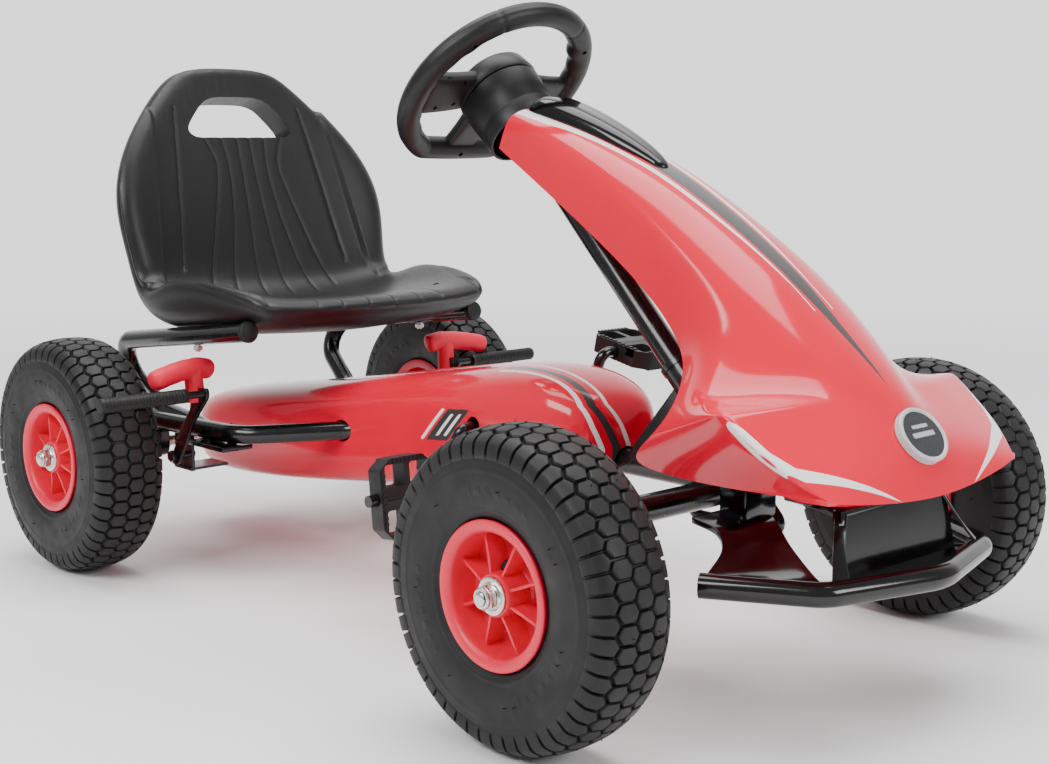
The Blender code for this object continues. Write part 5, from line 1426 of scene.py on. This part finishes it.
# ---------------------------------------------------------------- hood
# Half of the hood, as rows from the ridge (y = 0) out to the free edge.
# Each row: ridge, crown, shoulder, hollow, wing crest, edge.
HOOD = (
    ((0.112, 0.000, 0.5170), (0.109, 0.028, 0.5165), (0.102, 0.042, 0.508),
     (0.099, 0.0445, 0.499), (0.095, 0.0455, 0.488), (0.090, 0.045, 0.477)),
    ((0.180, 0.000, 0.4980), (0.180, 0.032, 0.4970), (0.178, 0.049, 0.486),
     (0.176, 0.0530, 0.471), (0.172, 0.0550, 0.454), (0.168, 0.055, 0.436)),
    ((0.2694, 0.000, 0.463), (0.269, 0.035, 0.4610), (0.265, 0.055, 0.447),
     (0.258, 0.0600, 0.430), (0.249, 0.0620, 0.413), (0.240, 0.062, 0.396)),
    ((0.3307, 0.000, 0.430), (0.330, 0.038, 0.4270), (0.325, 0.060, 0.411),
     (0.319, 0.0670, 0.394), (0.311, 0.0690, 0.376), (0.303, 0.069, 0.358)),
    ((0.3842, 0.000, 0.3965), (0.383, 0.041, 0.3935), (0.378, 0.066, 0.377),
     (0.371, 0.0730, 0.360), (0.361, 0.0760, 0.342), (0.350, 0.076, 0.322)),
    ((0.4290, 0.000, 0.3642), (0.428, 0.045, 0.3610), (0.422, 0.073, 0.343),
     (0.413, 0.0840, 0.326), (0.398, 0.0890, 0.309), (0.379, 0.0890, 0.291)),
    ((0.4753, 0.000, 0.3245), (0.473, 0.044, 0.3225), (0.468, 0.070, 0.303),
     (0.455, 0.1000, 0.281), (0.432, 0.1420, 0.264), (0.396, 0.129, 0.2590)),
    ((0.5214, 0.000, 0.2850), (0.520, 0.027, 0.2835), (0.514, 0.043, 0.2740),
     (0.501, 0.1000, 0.2750), (0.481, 0.1680, 0.2730), (0.366, 0.127, 0.230)),
    ((0.5560, 0.000, 0.2450), (0.553, 0.022, 0.2450), (0.546, 0.048, 0.2460),
     (0.536, 0.1030, 0.242), (0.519, 0.1650, 0.2440), (0.326, 0.113, 0.2015)),
    ((0.5690, 0.000, 0.2200), (0.567, 0.030, 0.2215), (0.564, 0.062, 0.2225),
     (0.559, 0.1070, 0.2235), (0.546, 0.1510, 0.2240), (0.455, 0.136, 0.2045)),
    ((0.5771, 0.000, 0.1965), (0.575, 0.050, 0.1990), (0.572, 0.085, 0.2025),
     (0.569, 0.1150, 0.206), (0.5650, 0.134, 0.2095), (0.560, 0.142, 0.2116)),
)


def hood_sheet(name, thickness, offset, mat=None, levels=1):
    """The hood's skin: half a cage, mirrored and softened. "across" counts out from the ridge."""
    bm = bmesh.new()
    crease = bm.edges.layers.float.new("crease_edge")
    across = bm.verts.layers.float.new("across")
    grid = [[bm.verts.new(p) for p in row] for row in HOOD]
    for row in grid:
        for k, vert in enumerate(row):
            vert[across] = k
    for a, b in zip(grid[:-1], grid[1:]):
        for k in range(len(a) - 1):
            bm.faces.new((a[k], b[k], b[k + 1], a[k + 1]))
    for a, b in zip(grid[6:-1], grid[7:]):
        bm.edges.get((a[4], b[4]))[crease] = 0.6
    for k in (2, 3):
        bm.edges.get((grid[7][k], grid[7][k + 1]))[crease] = 0.5
    sheet = from_bmesh(name, bm, mat)
    mod = sheet.modifiers.new("both sides", "MIRROR")
    mod.use_axis = (False, True, False)
    mod.merge_threshold = 0.0001
    mod = sheet.modifiers.new("soft", "SUBSURF")
    mod.levels = levels
    mod.render_levels = levels
    mod.boundary_smooth = "PRESERVE_CORNERS"
    mod = sheet.modifiers.new("wall", "SOLIDIFY")
    mod.thickness = thickness
    mod.offset = offset
    return bake(sheet)


hood = hood_sheet("hood", 0.0028, -1.0, DECALLED_RED, 5)
x, y, z = places(hood).T
a = np.abs(y)
across = np.empty(len(a), np.float32)
hood.data.attributes["across"].data.foreach_get("value", across)
inner = np.interp(x, (0.15, 0.20, 0.27, 0.35, 0.43), (0.026, 0.022, 0.017, 0.0155, 0.0120))
outer = np.interp(x, (0.15, 0.20, 0.27, 0.35, 0.43), (0.036, 0.030, 0.0235, 0.0205, 0.0135))
long_stripes = np.maximum.reduce([inner - a, a - outer, x - 0.455])
centre = np.interp(x, (0.27, 0.35, 0.43, 0.46, 0.505, 0.523), (0.013, 0.0115, 0.009, 0.006, 0.002, 0.0))
centre_stripe = np.maximum(a - centre, x - 0.523)
t = 0.767 * x - 0.61 * z
swoosh = [(0.1672, 0.205), (0.1612, 0.2444), (0.1544, 0.2695), (0.1439, 0.2819), (0.0992, 0.3013),
          (0.0503, 0.3202),
          (0.0948, 0.2967), (0.126, 0.2782), (0.1428, 0.2685), (0.1542, 0.2487), (0.1599, 0.2218)]
wing_film = np.maximum(polygon_distance(a, t, swoosh), (across - 4.05) * 0.02)
film(hood, "white", np.minimum(long_stripes, wing_film))
film(hood, "dark", centre_stripe)
hood.data.attributes.remove(hood.data.attributes["across"])
soften(hood, 0.0008, 60)
fit(smooth(hood, 50), "frame", "red_plastic", "hood")

# ---------------------------------------------------------------- neck cover
NECK = (
    # x, z of its base on the ridge, half width, height
    (0.106, 0.5130, 0.0250, 0.0130), (0.118, 0.5120, 0.0290, 0.0180), (0.150, 0.5040, 0.0260, 0.0175),
    (0.190, 0.4915, 0.0220, 0.0150), (0.228, 0.4765, 0.0180, 0.0125), (0.256, 0.4650, 0.0130, 0.0085),
    (0.272, 0.4570, 0.0070, 0.0040),
)
rings = []
for x, z, half, tall in NECK:
    # a long rib either side of a dished middle
    rings.append([(x + 0.35 * rise * tall, share * half, z + rise * tall) for share, rise in (
        (-1.0, -0.35), (-0.99, 0.35), (-0.80, 0.74), (-0.56, 0.93), (-0.30, 0.97), (0.0, 0.95),
        (0.30, 0.97), (0.56, 0.93),
        (0.80, 0.74), (0.99, 0.35), (1.0, -0.35), (0.0, -0.45))])
neck = loft("neck cover", rings, GLOSS_PLASTIC, 4)
neck_skin = hood_sheet("skin", 0.0130, -0.930, None, 4)
neck_back = copy_of(neck_skin, Matrix.Translation((-0.0006, 0.0, 0.0)), "skin back")
neck = cut(neck, neck_skin, neck_back,
           rod("room", along_column(WHEEL_ALONG - 0.0668), along_column(WHEEL_ALONG - 0.02), 0.0412, None,
               96))
soften(neck, 0.0006, 40)
fit(smooth(neck, 40), "frame", "black_gloss_plastic", "neck_cover")

# ---------------------------------------------------------------- nose badge
badge_n = Vector((0.80, 0.0, 0.60)).normalized()
badge_c = Vector((0.5565, 0.0, 0.2450))
badge = turned("nose badge", [
    (0.0, -0.0050), (0.0250, -0.0050), (0.0250, 0.0014), (0.0243, 0.0025), (0.0232, 0.0027),
    (0.0222, 0.0023), (0.0214, 0.0015)]
    + [(0.0012 * k, 0.0015 + 0.0002 * (17 - k) / 17) for k in range(17, -1, -1)], 96, None,
    Matrix.Translation(badge_c) @ badge_n.to_track_quat("Z", "Y").to_matrix().to_4x4())
badge.data.transform(Matrix.Diagonal((1.0, 1.13, 1.0, 1.0)))
badge = cut(badge, hood_sheet("skin", 0.0130, -0.930, None, 4))
badge.data.materials.clear()
badge.data.materials.append(BADGE)
x, y, z = places(badge).T
radial = np.hypot(y / 1.13, (x - badge_c.x) * 0.6 - (z - badge_c.z) * 0.8)
film(badge, "dark", radial - 0.0212)
across_face = (z - badge_c.z) * 0.8 - (x - badge_c.x) * 0.6
film(badge, "white", np.minimum(np.maximum(np.abs(across_face) - 0.0022, np.abs(y) - 0.0150),
                                np.maximum(np.abs(across_face - 0.0075) - 0.0016, np.abs(y) - 0.0110)))
fit(smooth(badge, 30), "frame", "badge_grey", "nose_badge")

# ---------------------------------------------------------------- bumper
BAND_Z = 0.1300
band = tube("bumper", rounded([(0.461, -0.166, BAND_Z), (0.548, -0.116, BAND_Z), (0.5805, 0.0, BAND_Z),
                               (0.548, 0.116, BAND_Z),
                               (0.461, 0.166, BAND_Z)], [0, 0.03, 0.06, 0.03, 0], 14), 0.0105,
                               GLOSS_PLASTIC, 9)


def slab(corners, thickness):
    """Corners of an edge, outer to inner, and the same a thickness above them."""
    return [(x, y, z) for x, y, z in corners] + [(x, y, z + thickness) for x, y, z in reversed(corners)]


def bent(name, rings):
    """A pressed plate through rings, made smooth along its length."""
    rings = spline_through([np.array(r).ravel() for r in rings], 8)
    return soften(loft(name, [[tuple(p) for p in r.reshape(-1, 3)] for r in rings]), 0.0012, 50, 3)


extras = []
for side in (1, -1):
    extras.append(bake(bent("foot", [
        slab([(0.398, side * 0.104, 0.1600), (0.398, side * 0.066, 0.1600), (0.398, side * 0.024, 0.1600)],
             0.006),
        slab([(0.428, side * 0.106, 0.1540), (0.428, side * 0.070, 0.1540), (0.432, side * 0.034, 0.1540)],
             0.006),
        slab([(0.445, side * 0.120, 0.1420), (0.452, side * 0.088, 0.1400), (0.465, side * 0.052, 0.1380)],
             0.006),
        slab([(0.455, side * 0.150, 0.1300), (0.480, side * 0.112, 0.1280), (0.512, side * 0.082, 0.1270)],
             0.006),
        slab([(0.463, side * 0.164, 0.1260), (0.512, side * 0.136, 0.1260), (0.547, side * 0.106, 0.1260)],
             0.006)])))
    extras.append(bake(bent("strut", [
        slab([(0.548, side * 0.108, 0.1340), (0.556, side * 0.094, 0.1340)], 0.004),
        slab([(0.538, side * 0.094, 0.1540), (0.544, side * 0.084, 0.1540)], 0.004),
        slab([(0.526, side * 0.076, 0.1860), (0.531, side * 0.066, 0.1860)], 0.004)])))
    extras.append(box("block", (0.030, 0.044, 0.033), (0.413, side * 0.046, 0.1755), bevel=0.003))
extras.append(loft("panel", [
    [(0.532, -0.084, 0.1300), (0.532, 0.084, 0.1300), (0.540, 0.084, 0.1300), (0.540, -0.084, 0.1300)],
    [(0.524, -0.076, 0.1880), (0.524, 0.076, 0.1880), (0.532, 0.076, 0.1880), (0.532, -0.076, 0.1880)]]))
extras.append(box("tie", (0.040, 0.150, 0.006), (0.548, 0.0, 0.1300)))
bumper = union(band, *extras)
soften(bumper, 0.0008, 40)
fit(smooth(bumper, 40), "frame", "black_gloss_plastic", "bumper")

# ---------------------------------------------------------------- floor, light and camera
# the lit wall stands behind the kart, and a dimmer room stands round it
WALL_SIDE = (-0.728, 0.686)
WALL_SPAN = (("From Min", 0.30), ("From Max", 0.85), ("To Min", 0.42), ("To Max", 1.7))
floor_mesh = bpy.data.meshes.new("floor")
floor_mesh.from_pydata([(-9, -9, 0), (9, -9, 0), (9, 9, 0), (-9, 9, 0)], [], [(0, 1, 2, 3)])
floor = Nodes("studio floor")
floor_tone = floor.mix(floor.span(floor.noise(3.0, 3.0), 0.3, 0.7, 0.0, 1.0), (0.88, 0.88, 0.88),
                       (0.90, 0.90, 0.90))
# far from the kart the floor turns into the lit backdrop, so that no edge shows between them
spread = floor.new("SeparateXYZ")
floor.link(floor.coord.outputs["Object"], spread.inputs[0])
far_x, far_y = spread.outputs["X"], spread.outputs["Y"]
reach = floor.math("SQRT", floor.math("ADD", floor.math("MULTIPLY", far_x, far_x),
                                      floor.math("MULTIPLY", far_y, far_y)))
toward = floor.math("ADD", floor.math("MULTIPLY", far_x, WALL_SIDE[0]),
                    floor.math("MULTIPLY", far_y, WALL_SIDE[1]))
toward = floor.math("DIVIDE", toward, floor.math("MAXIMUM", reach, 0.001))
fade = floor.new("MapRange")
fade.interpolation_type = "SMOOTHSTEP"
for socket, value in (("From Min", 0.9), ("From Max", 3.4), ("To Min", 0.0), ("To Max", 1.0)):
    fade.inputs[socket].default_value = value
floor.link(reach, fade.inputs["Value"])
glow = floor.new("MapRange")
glow.interpolation_type = "SMOOTHSTEP"
for socket, value in WALL_SPAN:
    glow.inputs[socket].default_value = value
floor.link(toward, glow.inputs["Value"])
floor_tone = floor.mix(fade.outputs["Result"], floor_tone, (0.0, 0.0, 0.0))
floor.bsdf.inputs["Emission Color"].default_value = (1.0, 1.0, 1.0, 1.0)
floor.put(floor.bsdf.inputs["Emission Strength"], floor.math("MULTIPLY", fade.outputs["Result"],
                                                             glow.outputs["Result"]))
floor.surface(floor_tone, floor.span(floor.noise(40.0, 3.0), 0.3, 0.7, 0.42, 0.50), specular=0.0)
floor_obj = add("floor", floor_mesh, floor.mat)

world = bpy.data.worlds.new("studio")
bpy.context.scene.world = world
world.use_nodes = True
sky = world.node_tree
background = sky.nodes["Background"]
background.inputs["Color"].default_value = (1.0, 1.0, 1.0, 1.0)
# the sky takes the lit wall's brightness by direction
where = sky.nodes.new("ShaderNodeTexCoord")
facing = sky.nodes.new("ShaderNodeVectorMath")
facing.operation = "DOT_PRODUCT"
facing.inputs[1].default_value = (*WALL_SIDE, 0.0)
sky.links.new(where.outputs["Generated"], facing.inputs[0])
wall = sky.nodes.new("ShaderNodeMapRange")
wall.interpolation_type = "SMOOTHSTEP"
for socket, value in WALL_SPAN:
    wall.inputs[socket].default_value = value
sky.links.new(facing.outputs["Value"], wall.inputs["Value"])
sky.links.new(wall.outputs["Result"], background.inputs["Strength"])


def softbox(name, place, target, size, power):
    data = bpy.data.lights.new(name, "AREA")
    data.shape = "RECTANGLE"
    data.size, data.size_y = size
    data.energy = power
    lamp = bpy.data.objects.new(name, data)
    col.objects.link(lamp)
    lamp.location = place
    lamp.rotation_mode = "QUATERNION"
    lamp.rotation_quaternion = (Vector(target) - Vector(place)).to_track_quat("-Z", "Y")
    return lamp


softbox("key", (0.2, -2.6, 2.3), (0.1, 0.0, 0.25), (2.2, 1.1), 85.0)
softbox("front", (3.0, 0.5, 1.5), (0.2, 0.0, 0.25), (1.4, 1.0), 50.0)
softbox("top", (-0.2, 0.3, 3.0), (0.0, 0.0, 0.2), (3.0, 2.0), 110.0)

camera = bpy.data.objects.new("camera", bpy.data.cameras.new("camera"))
col.objects.link(camera)
azimuth, elevation = math.radians(46.73), math.radians(8.56)
back = Vector((math.sin(azimuth) * math.cos(elevation), -math.cos(azimuth) * math.cos(elevation),
               math.sin(elevation)))
camera.location = Vector((1.2687 - SHIFT, -1.1197, 0.4826))
camera.rotation_mode = "QUATERNION"
camera.rotation_quaternion = back.to_track_quat("Z", "Y")
camera.data.sensor_width = 36.0
camera.data.lens = 54.594
camera.data.clip_start, camera.data.clip_end = 0.05, 60.0
bpy.context.scene.camera = camera
